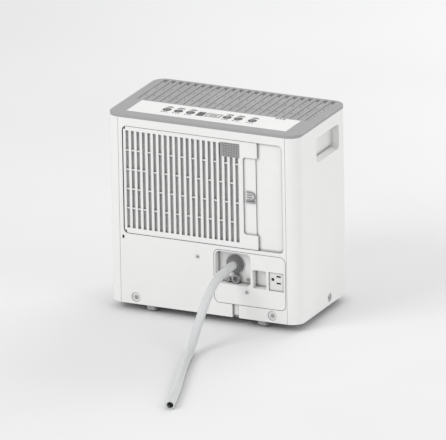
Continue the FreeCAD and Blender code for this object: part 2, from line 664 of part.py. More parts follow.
def control_board():
    """The circuit board under the strip, with a switch below each button."""
    plate = block(("-board_half", "board_half"), ("board_rear", "board_front"),
                  ("board_low", "board_low + board_thick"))
    middle = "(strip_rear + strip_front)/2"
    top = "board_low + board_thick"
    solids = [plate]
    for place_x in BUTTON_PLACES.values():
        solids.append(block((f"{place_x} - switch_half", f"{place_x} + switch_half"),
                            (f"{middle} - switch_half", f"{middle} + switch_half"),
                            (top, "switch_high")))
    solids.append(block(("-display_half", "display_half"),
                        (f"{middle} - module_half", f"{middle} + module_half"),
                        (top, "switch_high")))
    solids.append(block(("chip_left", "chip_right"),
                        ("board_rear + chip_in", "board_rear + chip_in + chip_deep"),
                        (top, "chip_high")))
    solids.append(rod("z", ("beeper_x", "board_rear + beeper_in"), (top, "chip_high"),
                      "beeper_radius"))
    return joined(*solids)


# ---------------------------------------------------------------- filter

def filter_grille():
    """The slotted filter cover, hinged on its left edge, with a finger pocket on its right."""
    body = new_body("filter")
    face = "depth/2 - filter_axis_in + filter_thick/2"
    plan = sketch_on(body, "xz", face)
    rectangle(plan, ("filter_axis_x", "filter_right"), ("filter_low", "filter_high"))
    pad(body, plan, "filter_thick", reverse=True)
    slots = sketch_on(body, "xz", face)
    rectangle(slots, ("slot_first - slot_wide/2", "slot_first + slot_wide/2"),
              ("slot_low", "slot_high"))
    first = pocket(body, slots, "filter_thick + 1")
    row = body.newObject("PartDesign::LinearPattern", "row")
    row.Originals = [first]
    row.Direction = (slots, ["H_Axis"])
    row.Occurrences = SLOTS
    bind(row, Length=f"slot_pitch*{SLOTS - 1}")
    body.Tip = row
    doc.recompute()
    window = sketch_on(body, "xz", face)
    rectangle(window, ("screen_left", "screen_right"), ("screen_low", "screen_high"))
    pocket(body, window, "filter_thick + 1")
    bridge_face = f"-({face}) + (filter_thick - bridge_thick)/2"
    bridges = []
    for number in range(SLOTS):
        for level in range(BRIDGE_LEVELS):
            if number >= EVERY_LEVEL_SLOTS and (number + level) % 2 == 0:
                continue
            middle = f"slot_first + slot_pitch*{number}"
            height = f"bridge_first + bridge_step*{level}"
            bridges.append(block(
                (f"{middle} - slot_wide/2 - gap", f"{middle} + slot_wide/2 + gap"),
                (bridge_face, f"{bridge_face} + bridge_thick"),
                (f"{height} - bridge_tall/2", f"{height} + bridge_tall/2")))
    axis_y = "-depth/2 + filter_axis_in"
    barrel = rod("z", ("filter_axis_x", axis_y), ("filter_low", "filter_high"), "filter_thick/2")
    pin = rod("z", ("filter_axis_x", axis_y),
              ("recess_low - filter_pin_long", "recess_high + filter_pin_long"), "filter_pin")
    blank = rounded_block("y", ("filter_axis_x - filter_thick/2", "filter_right + 2*recess_corner"),
                          ("-depth/2 - 1", "0"), ("filter_low", "filter_high"),
                          size("recess_corner") - 1)
    finger = rounded_block("y", ("finger_left", "filter_right + 2*finger_corner"),
                           ("-depth/2 - 1", f"{axis_y} + filter_thick/2 - finger_floor"),
                           ("finger_low", "finger_high"), size("finger_corner"))
    step = block(("finger_right", "filter_right + 1"), ("-depth/2 - 1", "0"),
                 ("finger_low", "finger_high"))
    reliefs = [block(("filter_axis_x - filter_thick", "filter_axis_x + hinge_relief"),
                     ("-depth/2 - 1", "0"), (low, high))
               for low, high in (("filter_low - 1", "filter_low + hinge_relief_tall"),
                                 ("filter_high - hinge_relief_tall", "filter_high + 1"))]
    solid = common(joined(body, barrel, *bridges), blank)
    return joined(cut(solid, finger, step, *reliefs), pin)


def filter_mesh():
    back = "-depth/2 + filter_axis_in + filter_thick/2"
    return block(("air_left + mesh_clear", "air_right - mesh_clear"),
                 (back, f"{back} + mesh_thick"), ("air_low + mesh_clear", "air_high - mesh_clear"))


def sensor_screen():
    """The fine screen in the corner of the filter cover, in front of the humidity sensor."""
    face = "-depth/2 + filter_axis_in - filter_thick/2 + screen_in"
    plate = block(("screen_left", "screen_right"), (face, f"{face} + screen_thick"),
                  ("screen_low", "screen_high"))
    holes = []
    across = int((size("screen_right") - size("screen_left")) // size("screen_pitch"))
    rows = int((size("screen_high") - size("screen_low")) // size("screen_pitch"))
    for column in range(across):
        for line in range(rows):
            x = f"(screen_left + screen_right)/2 + screen_pitch*({column} - {across - 1}/2)"
            z = f"(screen_low + screen_high)/2 + screen_pitch*({line} - {rows - 1}/2)"
            holes.append(block((f"{x} - screen_hole/2", f"{x} + screen_hole/2"),
                               (f"{face} - 1", f"{face} + screen_thick + 1"),
                               (f"{z} - screen_hole/2", f"{z} + screen_hole/2")))
    return cut(plate, *holes)


def filter_latch():
    """The ribbed thumb catch in the finger pocket."""
    floor = "-depth/2 + filter_axis_in + filter_thick/2 - finger_floor - gap"
    slab = block(("latch_left", "latch_right"), (f"{floor} - latch_thick", floor),
                 ("latch_low", "latch_high"))
    ribs = []
    for number in range(LATCH_RIBS):
        low = f"latch_low + latch_rib_first + latch_rib_pitch*{number}"
        ribs.append(block(("latch_left + latch_rib_in", "latch_right - 1"),
                          (f"{floor} - latch_thick - latch_rib", f"{floor} - latch_thick"),
                          (low, f"{low} + latch_rib_tall")))
    bar = block(("latch_left", "latch_right"),
                (f"{floor} - latch_thick - latch_rib", f"{floor} - latch_thick"),
                ("latch_low", "latch_low + latch_bar"))
    return joined(slab, bar, *ribs)


def humidity_sensor():
    board_rear = "sensor_front - sensor_thick"
    board = block(("sensor_left", "sensor_right"), (board_rear, "sensor_front"),
                  ("sensor_low", "sensor_high"))
    can = block(("sensor_left + can_in", "sensor_right - can_in"),
                (f"{board_rear} - can_thick", board_rear),
                ("sensor_low + can_in", "sensor_high - can_in"))
    return joined(board, can)


# ---------------------------------------------------------------- service panel

def service_panel():
    """The panel round the drain outlet and the plug holder."""
    rear = "-depth/2"
    floor = f"{rear} + pocket_deep"
    back = f"{floor} + wall"
    plate = rounded_block("y", ("panel_left", "panel_right"), (rear, f"{rear} + wall"),
                          ("panel_low", "panel_high"), size("panel_corner"))
    drain_box = block(("panel_left + gap", "drain_right + pocket_wall"), (f"{rear} + wall", back),
                      ("drain_low - pocket_wall", "panel_high - gap"))
    plug_box = block(("plug_left - pocket_wall", "plug_right + pocket_wall"),
                     (f"{rear} + wall", back),
                     ("plug_low - pocket_wall", "plug_high + pocket_wall"))
    drain = rounded_block("y", ("drain_left", "drain_right"), (f"{rear} - 1", floor),
                          ("drain_low", "drain_high"), size("panel_corner") - 1)
    spare = rounded_block("y", ("plug_left", "plug_mid_left"), (f"{rear} - 1", floor),
                          ("plug_low", "plug_high"), size("spare_corner"))
    holder = block(("plug_mid_right", "plug_right"), (f"{rear} - 1", floor),
                   ("plug_low", "plug_high"))
    spigot = rod("y", ("outlet_x", "outlet_z"), (rear, "0"), "spigot_radius")
    screws = [rod("y", spot, (f"{rear} - 1", f"{back} + 1"), "small_shank + gap")
              for spot in (PANEL_SCREW, POCKET_SCREW)]
    return cut(joined(cut(joined(plate, drain_box), drain), plug_box), spare, holder, spigot,
               *screws)


def plug_holder():
    """The insert with the holes of a three-pin plug, where the plug is parked."""
    face = "-depth/2 + socket_in"
    insert = block(("plug_mid_right + gap", "plug_right - gap"), (face, "-depth/2 + pocket_deep"),
                   ("plug_low + gap", "plug_high - gap"))
    ground = rod("y", ("ground_x", "socket_middle"), (f"{face} - 1", f"{face} + socket_deep"),
                 "ground_radius")
    blades = [block(("blade_x - blade_wide/2", "blade_x + blade_wide/2"),
                    (f"{face} - 1", f"{face} + socket_deep"),
                    (f"socket_middle + {side}*blade_apart/2 - blade_thick/2",
                     f"socket_middle + {side}*blade_apart/2 + blade_thick/2"))
              for side in (-1, 1)]
    return cut(insert, ground, *blades)


def drain_spigot():
    """The spigot through the pocket floor, fed by a short leg from the drip tray."""
    mouth = "-depth/2 + pocket_deep - nut_long"
    stub = rod("y", ("outlet_x", "outlet_z"), (mouth, "leg_y + stub_reach"), "spigot_radius")
    leg = rod("z", ("outlet_x", "leg_y"), ("outlet_z - spigot_radius - leg_below", "tray_low"),
              "leg_radius")
    bore = rod("y", ("outlet_x", "outlet_z"), (f"{mouth} - 1", "leg_y"), "leg_bore")
    drop = rod("z", ("outlet_x", "leg_y"), ("outlet_z - 1", "tray_low + 1"), "drop_bore")
    return cut(joined(stub, leg), bore, drop)


def hose_nut():
    """The stepped union nut that holds the hose on the spigot."""
    body = new_body("nut")
    profile = sketch_on(body, "yz", "outlet_x")
    floor = "-depth/2 + pocket_deep"
    inner = "spigot_radius + nut_fit"
    steps = [(floor, inner), (floor, "nut_radius"),
             (f"{floor} - nut_step", "nut_radius"), (f"{floor} - nut_step", "nut_radius - nut_in"),
             (f"{floor} - 2*nut_step", "nut_radius - nut_in"),
             (f"{floor} - 2*nut_step", "nut_radius - nut_tip_in"),
             (f"{floor} - nut_long", "nut_radius - nut_tip_in"),
             (f"{floor} - nut_long", inner)]
    outline(profile, [(along, f"outlet_z + {out}") for along, out in steps])
    axis = doc.addObject("PartDesign::Line", "nut_axis")
    body.addObject(axis)
    axis.Placement = FreeCAD.Placement(
        FreeCAD.Vector(size("outlet_x"), 0, size("outlet_z")), FreeCAD.Rotation(ALONG["x"], 90))
    feature = body.newObject("PartDesign::Revolution", "turned")
    feature.Profile = profile
    feature.ReferenceAxis = (axis, [""])
    feature.Angle = 360
    return body


def drain_cap():
    """The rubber cap of the outlet with its moulded strap, stowed in the bottom of the pocket."""
    floor = "-depth/2 + pocket_deep"
    cup = rod("y", ("cap_x", "cap_z"), (f"{floor} - cap_long", floor), "cap_radius")
    hollow = rod("y", ("cap_x", "cap_z"), (f"{floor} - cap_long - 1", f"{floor} - cap_floor"),
                 "cap_radius - cap_skin")
    post = rod("y", ("anchor_x", "anchor_z"), (f"{floor} - anchor_long", floor), "anchor_radius")
    strap = block(("anchor_x", "cap_x - cap_radius + cap_floor"),
                  (f"{floor} - strap_rear", f"{floor} - strap_front"),
                  ("anchor_z - strap_low", "anchor_z - strap_high"))
    return joined(cut(cup, hollow), post, strap)


def cord_gland():
    bush = joined(rod("z", ("gland_x", "gland_y"), ("shell_bottom", "shell_bottom + gland_long"),
                      "gland_radius"),
                  rod("z", ("gland_x", "gland_y"), ("shell_bottom - gland_lip", "shell_bottom"),
                      "gland_flange"))
    return cut(bush, rod("z", ("gland_x", "gland_y"), ("0", "pan_room"), "gland_bore"))


def drain_hose():
    """A limp clear hose: its tube follows straight runs joined by tangent arcs."""
    shape, path, radii = pipe(HOSE_ROUTE, size("hose_radius"), size("hose_bore"))
    section = math.pi * (size("hose_radius") ** 2 - size("hose_bore") ** 2)
    print("hose arcs:", ", ".join(f"{radius:.0f}" for radius in radii), "mm")
    print(f"hose length {path.Length:.1f} mm, volume over section {shape.Volume / section:.1f} mm")
    return shaped("hose", shape)


# ---------------------------------------------------------------- bucket

def water_bucket():
    walls = rounded_block("z", ("bucket_left", "bucket_right"),
                          ("bucket_rear", "depth/2 - wall"), ("bucket_low", "bucket_high"),
                          size("bucket_corner"))
    space = rounded_block("z", ("bucket_left + bucket_wall", "bucket_right - bucket_wall"),
                          ("bucket_rear + bucket_wall", "depth/2 - wall - bucket_wall"),
                          ("bucket_low + bucket_wall", "bucket_high + 1"),
                          size("bucket_corner") - size("bucket_wall"))
    lugs = [block((f"float_x + {side}*(float_half + lug_thick/2 + gap) - lug_thick/2",
                   f"float_x + {side}*(float_half + lug_thick/2 + gap) + lug_thick/2"),
                  ("bucket_rear + bucket_wall/2", "float_y + lug_half"),
                  ("float_z - lug_half", "float_z + lug_half")) for side in (-1, 1)]
    pivot = rod("x", ("float_y", "float_z"),
                ("float_x - float_half - 2*lug_thick", "float_x + float_half + 2*lug_thick"),
                "float_pin + float_pin_fit")
    return cut(joined(cut(walls, space), *lugs), pivot)


def bucket_lid():
    """The splash lid, with a funnel opening below the drip tray."""
    plate = rounded_block("z", ("bucket_left", "bucket_right"), ("bucket_rear", "lid_front"),
                          ("bucket_high", "lid_high"), size("bucket_corner"))
    return cut(plate, block(("funnel_left", "funnel_right"), ("funnel_rear", "funnel_front"),
                            ("bucket_high - 1", "lid_high + 1")))


def bucket_front():
    """The lower front panel, which pulls the bucket out by its finger grip."""
    front = "depth/2"
    panel = block(("seam_gap - seam", "seam - seam_gap"), (f"{front} - wall", front),
                  ("front_low", "front_split"))
    shell = block(("-grip_half - grip_wall", "grip_half + grip_wall"),
                  (f"{front} - grip_deep - grip_wall", front),
                  ("grip_low - grip_wall", "grip_high + grip_wall"))
    grip = rounded_block("y", ("-grip_half", "grip_half"), (f"{front} - grip_deep", f"{front} + 1"),
                         ("grip_low", "grip_high"), size("grip_corner"))
    window = block(("window_left", "window_right"), (f"{front} - wall - 1", f"{front} + 1"),
                   ("window_low", "window_high"))
    return cut(joined(panel, shell), grip, window)


def bucket_window():
    return block(("window_left + gap", "window_right - gap"), ("depth/2 - wall", "depth/2 - window_in"),
                 ("window_low + gap", "window_high - gap"))


def bucket_float():
    """The float and its arm, hung between the bucket's two lugs."""
    hub = rod("x", ("float_y", "float_z"), ("float_x - float_half", "float_x + float_half"),
              "hub_radius")
    pin = rod("x", ("float_y", "float_z"),
              ("float_x - float_half - lug_thick", "float_x + float_half + lug_thick"), "float_pin")
    stalk = block(("float_x - stalk_half", "float_x + stalk_half"),
                  ("float_y", "float_y + stalk_long"),
                  ("float_z - stalk_thick/2", "float_z + stalk_thick/2"))
    cell = rounded_block("x", ("float_x - cell_half", "float_x + cell_half"),
                         ("float_y + cell_rear", "float_y + cell_front"),
                         ("float_z - cell_low", "float_z + stalk_thick/2"), size("cell_round"))
    return joined(hub, pin, stalk, cell)


def bucket_switch():
    case = block(("lever_x - lever_half", "lever_x + lever_half"), ("lever_rear", "lever_front"),
                 ("lever_low", "tray_low"))
    plunger = rod("y", ("lever_x", "lever_low + plunger_up"), ("lever_front", "bucket_rear - gap"),
                  "plunger_radius")
    return joined(case, plunger)


# ---------------------------------------------------------------- cooling circuit and fan

def drip_tray():
    box_x = ("tray_left", "tray_right")
    box_y = ("tray_rear", "tray_front")
    tray = cut(block(box_x, box_y, ("tray_low", "tray_high")),
               block(("tray_left + tray_wall", "tray_right - tray_wall"),
                     ("tray_rear + tray_wall", "tray_front - tray_wall"),
                     ("tray_low + tray_wall", "tray_high + 1")))
    ribs = [block((f"{x} - rib_half", f"{x} + rib_half"), box_y, ("tray_low", "tray_high"))
            for x in ("coil_left + rib_in", "coil_right - rib_in")]
    drain = rod("z", ("outlet_x", "leg_y"), ("tray_low - 1", "tray_low + tray_wall + 1"),
                "leg_bore")
    return cut(joined(tray, *ribs), drain)


def coil(rear):
    """A finned coil: its fin pack, two end plates and the return bends."""
    across = ("coil_low", "coil_high")
    deep = (rear, f"{rear} + coil_thick")
    pack = block(("coil_left", "coil_right"), deep, across)
    grooves = []
    for number in range(1, FIN_BLOCKS):
        x = f"coil_left + (coil_right - coil_left)*{number}/{FIN_BLOCKS}"
        for face in (rear, f"{rear} + coil_thick"):
            grooves.append(block((f"{x} - groove_half", f"{x} + groove_half"),
                                 (f"{face} - groove_half", f"{face} + groove_half"),
                                 ("coil_low + groove_end", "coil_high - groove_end")))
    bends = []
    for end in ("coil_left", "coil_right"):
        for number in range(BENDS):
            ring = doc.addObject("Part::Torus", "bend")
            bind(ring, Radius1="bend_radius", Radius2="tube_radius")
            ring.Placement = FreeCAD.Placement(FreeCAD.Vector(),
                                               FreeCAD.Rotation(ALONG["x"], 90))
            place(ring, end, f"{rear} + coil_thick/2", f"bend_first + bend_pitch*{number}")
            bends.append(ring)
    return joined(cut(pack, *grooves), *bends)


def fan_housing():
    """The blower housing: an inlet ring at its rear and a duct up to the louvres."""
    low = "shelf_high"
    box = block(("housing_left", "housing_right"), ("housing_rear", "housing_front"),
                (low, "housing_high"))
    duct = block(("duct_left", "duct_right"), ("duct_rear", "housing_front"),
                 ("housing_high", "duct_high"))
    space = block(("housing_left + wall", "housing_right - wall"),
                  ("housing_rear + wall", "housing_front - wall"),
                  (f"{low} + wall", "housing_high - wall"))
    up = block(("duct_left + wall", "duct_right - wall"), ("duct_rear + wall", "housing_front - wall"),
               ("housing_high - 2*wall", "duct_high + 1"))
    inlet = rod("y", ("fan_x", "fan_z"), ("housing_rear - 1", "housing_rear + 2*wall"),
                "inlet_radius")
    shaft = rod("y", ("fan_x", "fan_z"), ("0", "housing_front + 1"), "shaft_hole")
    return cut(joined(box, duct), space, up, inlet, shaft)


def fan_impeller():
    """A drum of curved blades between a back disc and a front ring."""
    body = new_body("impeller")
    disc = sketch_on(body, "xz", "-(impeller_front - disc_thick)")
    circle(disc, "fan_x", "fan_z", "impeller_radius")
    pad(body, disc, "disc_thick", reverse=True)
    hub = sketch_on(body, "xz", "-impeller_front")
    circle(hub, "fan_x", "fan_z", "hub")
    pad(body, hub, "hub_long")
    blade = sketch_on(body, "xz", "-impeller_rear")
    root = "fan_z + impeller_radius - blade_deep"
    outline(blade, [("fan_x - blade_root", root), ("fan_x + blade_skin - blade_root", root),
                    ("fan_x + blade_tip", "fan_z + impeller_radius - blade_drop"),
                    ("fan_x + blade_tip - blade_skin", "fan_z + impeller_radius - blade_drop/2")])
    first = pad(body, blade, "impeller_front - disc_thick - impeller_rear + gap", reverse=True)
    spin = doc.addObject("PartDesign::Line", "spin_axis")
    body.addObject(spin)
    spin.Placement = FreeCAD.Placement(FreeCAD.Vector(size("fan_x"), 0, size("fan_z")),
                                       FreeCAD.Rotation(ALONG["x"], 90))
    pattern = body.newObject("PartDesign::PolarPattern", "blades")
    pattern.Originals = [first]
    pattern.Axis = (spin, [""])
    pattern.Angle = 360
    pattern.Occurrences = BLADES
    body.Tip = pattern
    doc.recompute()
    ring = sketch_on(body, "xz", "-impeller_rear")
    circle(ring, "fan_x", "fan_z", "impeller_radius")
    circle(ring, "fan_x", "fan_z", "impeller_radius - ring_wide")
    pad(body, ring, "disc_thick", reverse=True)
    return cut(body, rod("y", ("fan_x", "fan_z"), ("impeller_rear", "impeller_front + 1"),
                         "shaft_radius"))


def fan_shaft():
    return rod("y", ("fan_x", "fan_z"), ("impeller_front - shaft_rear", "housing_front + shaft_front"),
               "shaft_radius")


def fan_motor():
    case = rod("y", ("fan_x", "fan_z"), ("housing_front", "motor_front"), "motor_radius")
    soft = round_edges(case, size("motor_round"), lambda edge: all(
        vertex.Y > size("motor_front") - 1e-6 for vertex in edge.Vertexes))
    feet = [rod("y", (f"fan_x + {side}*(motor_radius + motor_foot_out)", "fan_z"),
                ("housing_front", "housing_front + motor_foot_thick"), "motor_foot")
            for side in (-1, 1)]
    bore = rod("y", ("fan_x", "fan_z"), ("housing_front - 1", "housing_front + motor_bore"),
               "shaft_radius + shaft_fit")
    return cut(joined(soft, *feet), bore)


def compressor():
    """A hermetic compressor on its foot plate."""
    body = new_body("compressor")
    profile = sketch_on(body, "xz", "-comp_y")
    outline(profile, [("comp_x", "comp_low"), ("comp_x + comp_radius - comp_foot_in", "comp_low"),
                      ("comp_x + comp_radius", "comp_low + comp_foot_up"),
                      ("comp_x + comp_radius", "comp_high - comp_dome"),
                      ("comp_x + comp_radius - comp_shoulder", "comp_high - comp_dome/2"),
                      ("comp_x + comp_flat", "comp_high"), ("comp_x", "comp_high")])
    axis = doc.addObject("PartDesign::Line", "drum_axis")
    body.addObject(axis)
    axis.Placement = FreeCAD.Placement(FreeCAD.Vector(size("comp_x"), size("comp_y"), 0),
                                       FreeCAD.Rotation())
    feature = body.newObject("PartDesign::Revolution", "turned")
    feature.Profile = profile
    feature.ReferenceAxis = (axis, [""])
    feature.Angle = 360
    plate = rounded_block("z", ("comp_x - foot_half", "comp_x + foot_half"),
                          ("comp_y - foot_half", "comp_y + foot_half"),
                          ("comp_low - foot_thick", "comp_low"), size("foot_corner"))
    return joined(body, plate)


def compressor_feet():
    """The four rubber grommets that the compressor stands on."""
    return joined(*[rod("z", (f"comp_x + {side}*grommet_at", f"comp_y + {end}*grommet_at"),
                        ("shell_bottom + pan_thick", "comp_low - foot_thick"), "grommet_radius")
                    for side in (-1, 1) for end in (-1, 1)])


def coil_middle(rear):
    return size(rear) + size("coil_thick") / 2


def suction_pipe():
    cold = coil_middle("cold_rear")
    x, y, z = size("suction_x"), size("suction_y"), size("suction_z")
    route = [(size("coil_right"), cold, z), (x, cold, z), (x, y, z), (x, y, size("comp_high"))]
    return shaped("suction", pipe(route, size("tube_radius"))[0])


def discharge_pipe():
    hot = coil_middle("hot_rear")
    x, y, z = size("discharge_x"), size("discharge_y"), size("discharge_z")
    route = [(size("coil_right"), hot, z), (x, hot, z), (x, y, z), (x, y, size("comp_high"))]
    return shaped("discharge", pipe(route, size("discharge_radius"))[0])


def filter_drier():
    """The capillary between the coils, with the drier in its middle."""
    cold, hot = coil_middle("cold_rear"), coil_middle("hot_rear")
    x, z = size("capillary_x"), size("capillary_z")
    route = [(size("coil_right"), cold, z), (x, cold, z), (x, hot, z), (size("coil_right"), hot, z)]
    tube = shaped("capillary", pipe(route, size("capillary_radius"))[0])
    can = rod("y", ("capillary_x", "capillary_z"),
              ("cold_rear + coil_thick - drier_rear", "hot_rear + drier_front"), "drier_radius")
    return joined(tube, can)


def run_capacitor():
    can = rod("z", ("capacitor_x", "0"), ("shelf_high", "capacitor_high"), "capacitor_radius")
    tabs = [block((f"capacitor_x + {side}*tab_x - tab_half", f"capacitor_x + {side}*tab_x + tab_half"),
                  ("-tab_thick/2", "tab_thick/2"), ("capacitor_high", "capacitor_high + tab_high"))
            for side in (-1, 1)]
    return joined(can, *tabs)


# ---------------------------------------------------------------- castors

def castor_fork(side, end):
    """The swivel fork of a castor, with its stem and riveted axle."""
    x, y = f"{side}*castor_x", f"{end}*castor_y"
    wheel_y = f"{y} - trail"
    plate = block((f"{x} - fork_half", f"{x} + fork_half"), (f"{y} - fork_reach", f"{y} + fork_front"),
                  ("fork_plate_low", "fork_plate_high"))
    arms = [block(pair, (f"{wheel_y} - arm_half", f"{wheel_y} + arm_half"),
                  ("fork_arm_low", "fork_plate_high"))
            for pair in ((f"{x} - fork_half", f"{x} - fork_half + fork_arm"),
                         (f"{x} + fork_half - fork_arm", f"{x} + fork_half"))]
    axle = rod("x", (wheel_y, "wheel_radius"), (f"{x} - fork_half", f"{x} + fork_half"),
               "axle_radius")
    stem = rod("z", (x, y), ("fork_plate_low", "castor_stem_top"), "castor_stem")
    return joined(plate, *arms, axle, stem)


def castor_wheel(side, end):
    x, y = f"{side}*castor_x", f"{end}*castor_y - trail"
    tread = rod("x", (y, "wheel_radius"), (f"{x} - wheel_half", f"{x} + wheel_half"),
                "wheel_radius")
    soft = round_edges(tread, size("wheel_round"),
                       lambda edge: edge.Curve.TypeId == "Part::GeomCircle")
    bore = rod("x", (y, "wheel_radius"), (f"{x} - 2*wheel_half", f"{x} + 2*wheel_half"),
               "axle_radius + axle_fit")
    return cut(soft, bore)


# ---------------------------------------------------------------- screws

def screw(axis, spot, face, inward, head, head_thick, shank, long):
    """A pan-head screw whose head stands on a face; inward is +1 or -1 along the axis."""
    if inward > 0:
        head_span = (f"{face} - {head_thick}", face)
        shank_span = (f"{face} - screw_bite", f"{face} + {long}")
    else:
        head_span = (face, f"{face} + {head_thick}")
        shank_span = (f"{face} - {long}", f"{face} + screw_bite")
    return joined(rod(axis, spot, head_span, head), rod(axis, spot, shank_span, shank))


def cover_screws():
    sizes = ("screw_head", "screw_head_thick", "screw_shank - screw_free", "screw_long")
    solids = []
    for side in (-1, 1):
        solids.append(screw("y", (f"{side}*screw_x", "screw_z"), "-depth/2 + wall/2", 1, *sizes))
        solids.append(screw("x", ("side_screw_y", "side_screw_z"),
                            f"{side}*(width/2 - wall/2)", -side, *sizes))
    return joined(*solids)


def panel_screws():
    sizes = ("small_head", "small_head_thick", "small_shank", "small_long")
    spots = ((PANEL_SCREW, "-depth/2"), (COVER_SCREW, "-depth/2"),
             (POCKET_SCREW, "-depth/2 + pocket_deep"))
    return joined(*[screw("y", spot, face, 1, *sizes) for spot, face in spots])


# ---------------------------------------------------------------- assembly

piece("rear_cover", rear_cover())
piece("front_cover", front_cover())
piece("base_pan", base_pan())
piece("bay_wall", bay_wall())
piece("inner_shelf", inner_shelf())
for side, name in ((-1, "left"), (1, "right")):
    piece(f"{name}_side_cover", shell_side(side))
    piece(f"{name}_handle_cup", handle_cup(side))
piece("top_grille", top_grille())
piece("control_panel", control_panel())
piece("display_window", display_window())
for name, middle in BUTTON_PLACES.items():
    piece(name, button(middle))
piece("control_board", control_board())
piece("filter_grille", filter_grille())
piece("filter_mesh", filter_mesh())
piece("sensor_screen", sensor_screen())
piece("filter_latch", filter_latch())
piece("humidity_sensor", humidity_sensor())
piece("service_panel", service_panel())
piece("plug_holder", plug_holder())
piece("drain_spigot", drain_spigot())
piece("hose_nut", hose_nut())
piece("drain_hose", drain_hose())
piece("drain_cap", drain_cap())
piece("cord_gland", cord_gland())
piece("water_bucket", water_bucket())
piece("bucket_lid", bucket_lid())
piece("bucket_front", bucket_front())
piece("bucket_window", bucket_window())
piece("bucket_float", bucket_float())
piece("bucket_switch", bucket_switch())
piece("drip_tray", drip_tray())
piece("evaporator_coil", coil("cold_rear"))
piece("condenser_coil", coil("hot_rear"))
piece("fan_housing", fan_housing())
piece("fan_impeller", fan_impeller())
piece("fan_shaft", fan_shaft())
piece("fan_motor", fan_motor())
piece("compressor", compressor())
piece("compressor_feet", compressor_feet())
piece("suction_pipe", suction_pipe())
piece("discharge_pipe", discharge_pipe())
piece("filter_drier", filter_drier())
piece("run_capacitor", run_capacitor())
for side, side_name in ((-1, "left"), (1, "right")):
    for end, end_name in ((-1, "rear"), (1, "front")):
        piece(f"castor_fork_{end_name}_{side_name}", castor_fork(side, end))
        piece(f"castor_wheel_{end_name}_{side_name}", castor_wheel(side, end))
piece("cover_screws", cover_screws())
piece("panel_screws", panel_screws())

doc.recompute()

for item in doc.Objects:
    if "Invalid" in item.State or "Error" in item.State:
        raise ValueError(f"{item.Name} ({item.Label}) failed: {item.State}")
for label, item in pieces.items():
    if item.Shape.isNull() or not item.Shape.isValid():
        raise ValueError(f"{label} has no valid shape")

os.makedirs("parts", exist_ok=True)
for label, item in pieces.items():
    item.Shape.exportStep(os.path.join("parts", f"{label}.step"))
print(f"{len(pieces)} sub-parts written")
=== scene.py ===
import math

import bmesh
import bpy
from mathutils import Matrix, Vector


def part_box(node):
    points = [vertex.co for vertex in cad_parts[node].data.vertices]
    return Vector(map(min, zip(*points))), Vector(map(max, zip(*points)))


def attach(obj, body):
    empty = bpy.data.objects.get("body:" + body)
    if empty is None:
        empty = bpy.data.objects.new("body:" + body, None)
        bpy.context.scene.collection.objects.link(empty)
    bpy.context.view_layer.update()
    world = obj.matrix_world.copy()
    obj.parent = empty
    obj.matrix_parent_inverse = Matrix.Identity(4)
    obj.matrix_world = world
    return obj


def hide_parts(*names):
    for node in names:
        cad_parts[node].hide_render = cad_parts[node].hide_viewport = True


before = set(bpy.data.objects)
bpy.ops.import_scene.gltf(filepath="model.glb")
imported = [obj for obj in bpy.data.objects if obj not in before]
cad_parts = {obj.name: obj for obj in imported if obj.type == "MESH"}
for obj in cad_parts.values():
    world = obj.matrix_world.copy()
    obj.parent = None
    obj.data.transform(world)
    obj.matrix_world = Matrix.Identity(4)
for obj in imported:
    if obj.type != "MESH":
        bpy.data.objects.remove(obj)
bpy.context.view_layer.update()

MM = 0.001

# The camera looks at the rear right corner from above, from so far away that lines stay parallel.
AZIMUTH = math.radians(25.6)
ELEVATION = math.radians(18.7)
ROLL = math.radians(1.03)
SEEN_WIDTH = 0.8065
LENS = 1000
SENSOR = 36
AIM = Vector((-0.0054, -0.0120, 0.1616))
NEAR_CLIP = 0.05
FAR_CLIP = 4

# The studio: half the side of the floor, the strength of the sky, then each lamp's place, size and
# power.
FLOOR_HALF = 15.0
SKY_STRENGTH = 0.72
LIT_POINT = (0, 0, 0.2)
LAMPS = {"key": ((-1.5, -2.4, 2.2), 1.6, 42), "fill": ((2.6, -0.8, 1.4), 1.8, 14),
         "front": ((0.6, 2.6, 2.0), 1.8, 34)}

# The hose: the control points of its route, the same as in the solid model.
HOSE_ROUTE = [(57, -104, 112), (57, -134, 112), (56, -176, 106), (53, -212, 78), (52, -246, 40),
              (58, -290, 8), (76, -352, 8), (101, -424, 8), (128, -497, 8), (148, -563, 8)]
HOSE_RADIUS = 8 * MM
HOSE_BORE = 6 * MM
HOSE_SIDES = 32
HOSE_STEPS = 20
HOSE_ORDER = 3
HOSE_CUT = math.radians(50)

# Screws: radius and thickness of the head, radius and length of the shank.
COVER_SCREW = (4.2 * MM, 1.1 * MM, 1.98 * MM, 10 * MM)
PANEL_SCREW = (3 * MM, 1.4 * MM, 1.5 * MM, 6 * MM)
REAR_SCREW = (136, -107.75, 28)
SIDE_SCREW = (188.75, 20, 29)
PANEL_SCREW_PLACES = ((86, -109, 66), (-11, -109, 122), (82, -93, 84.7))
SCREW_TURN = math.radians(20)
SCREW_SIDES = 24
SCREW_CREASE = math.radians(40)
# A head from its flat top to its foot: radius in head radii, height in head thicknesses.
HEAD_PROFILE = ((0.62, 1), (0.84, 0.9), (0.96, 0.62), (1, 0.25), (1, 0))
POINT_RADIUS = 0.3
# The cross recess: half its slot and the reach of its arms in head radii, then its floor.
RECESS_HALF = 0.11
RECESS_ARM = 0.48
RECESS_TAPER = 0.6
RECESS_FLOOR = 0.35

LOUVRES = 23
BENDS = 5
DOT_STEPS = 11
BUTTONS = ("mode", "fan", "filter", "humidity", "timer", "power")
# Printed marks reach a little into the surface they stand on, and a little out of it.
INK_UNDER = 0.02 * MM
INK_OVER = 0.08 * MM
COILS = {"cold_fins": "evaporator_coil", "hot_fins": "condenser_coil"}


# ---------------------------------------------------------------- materials

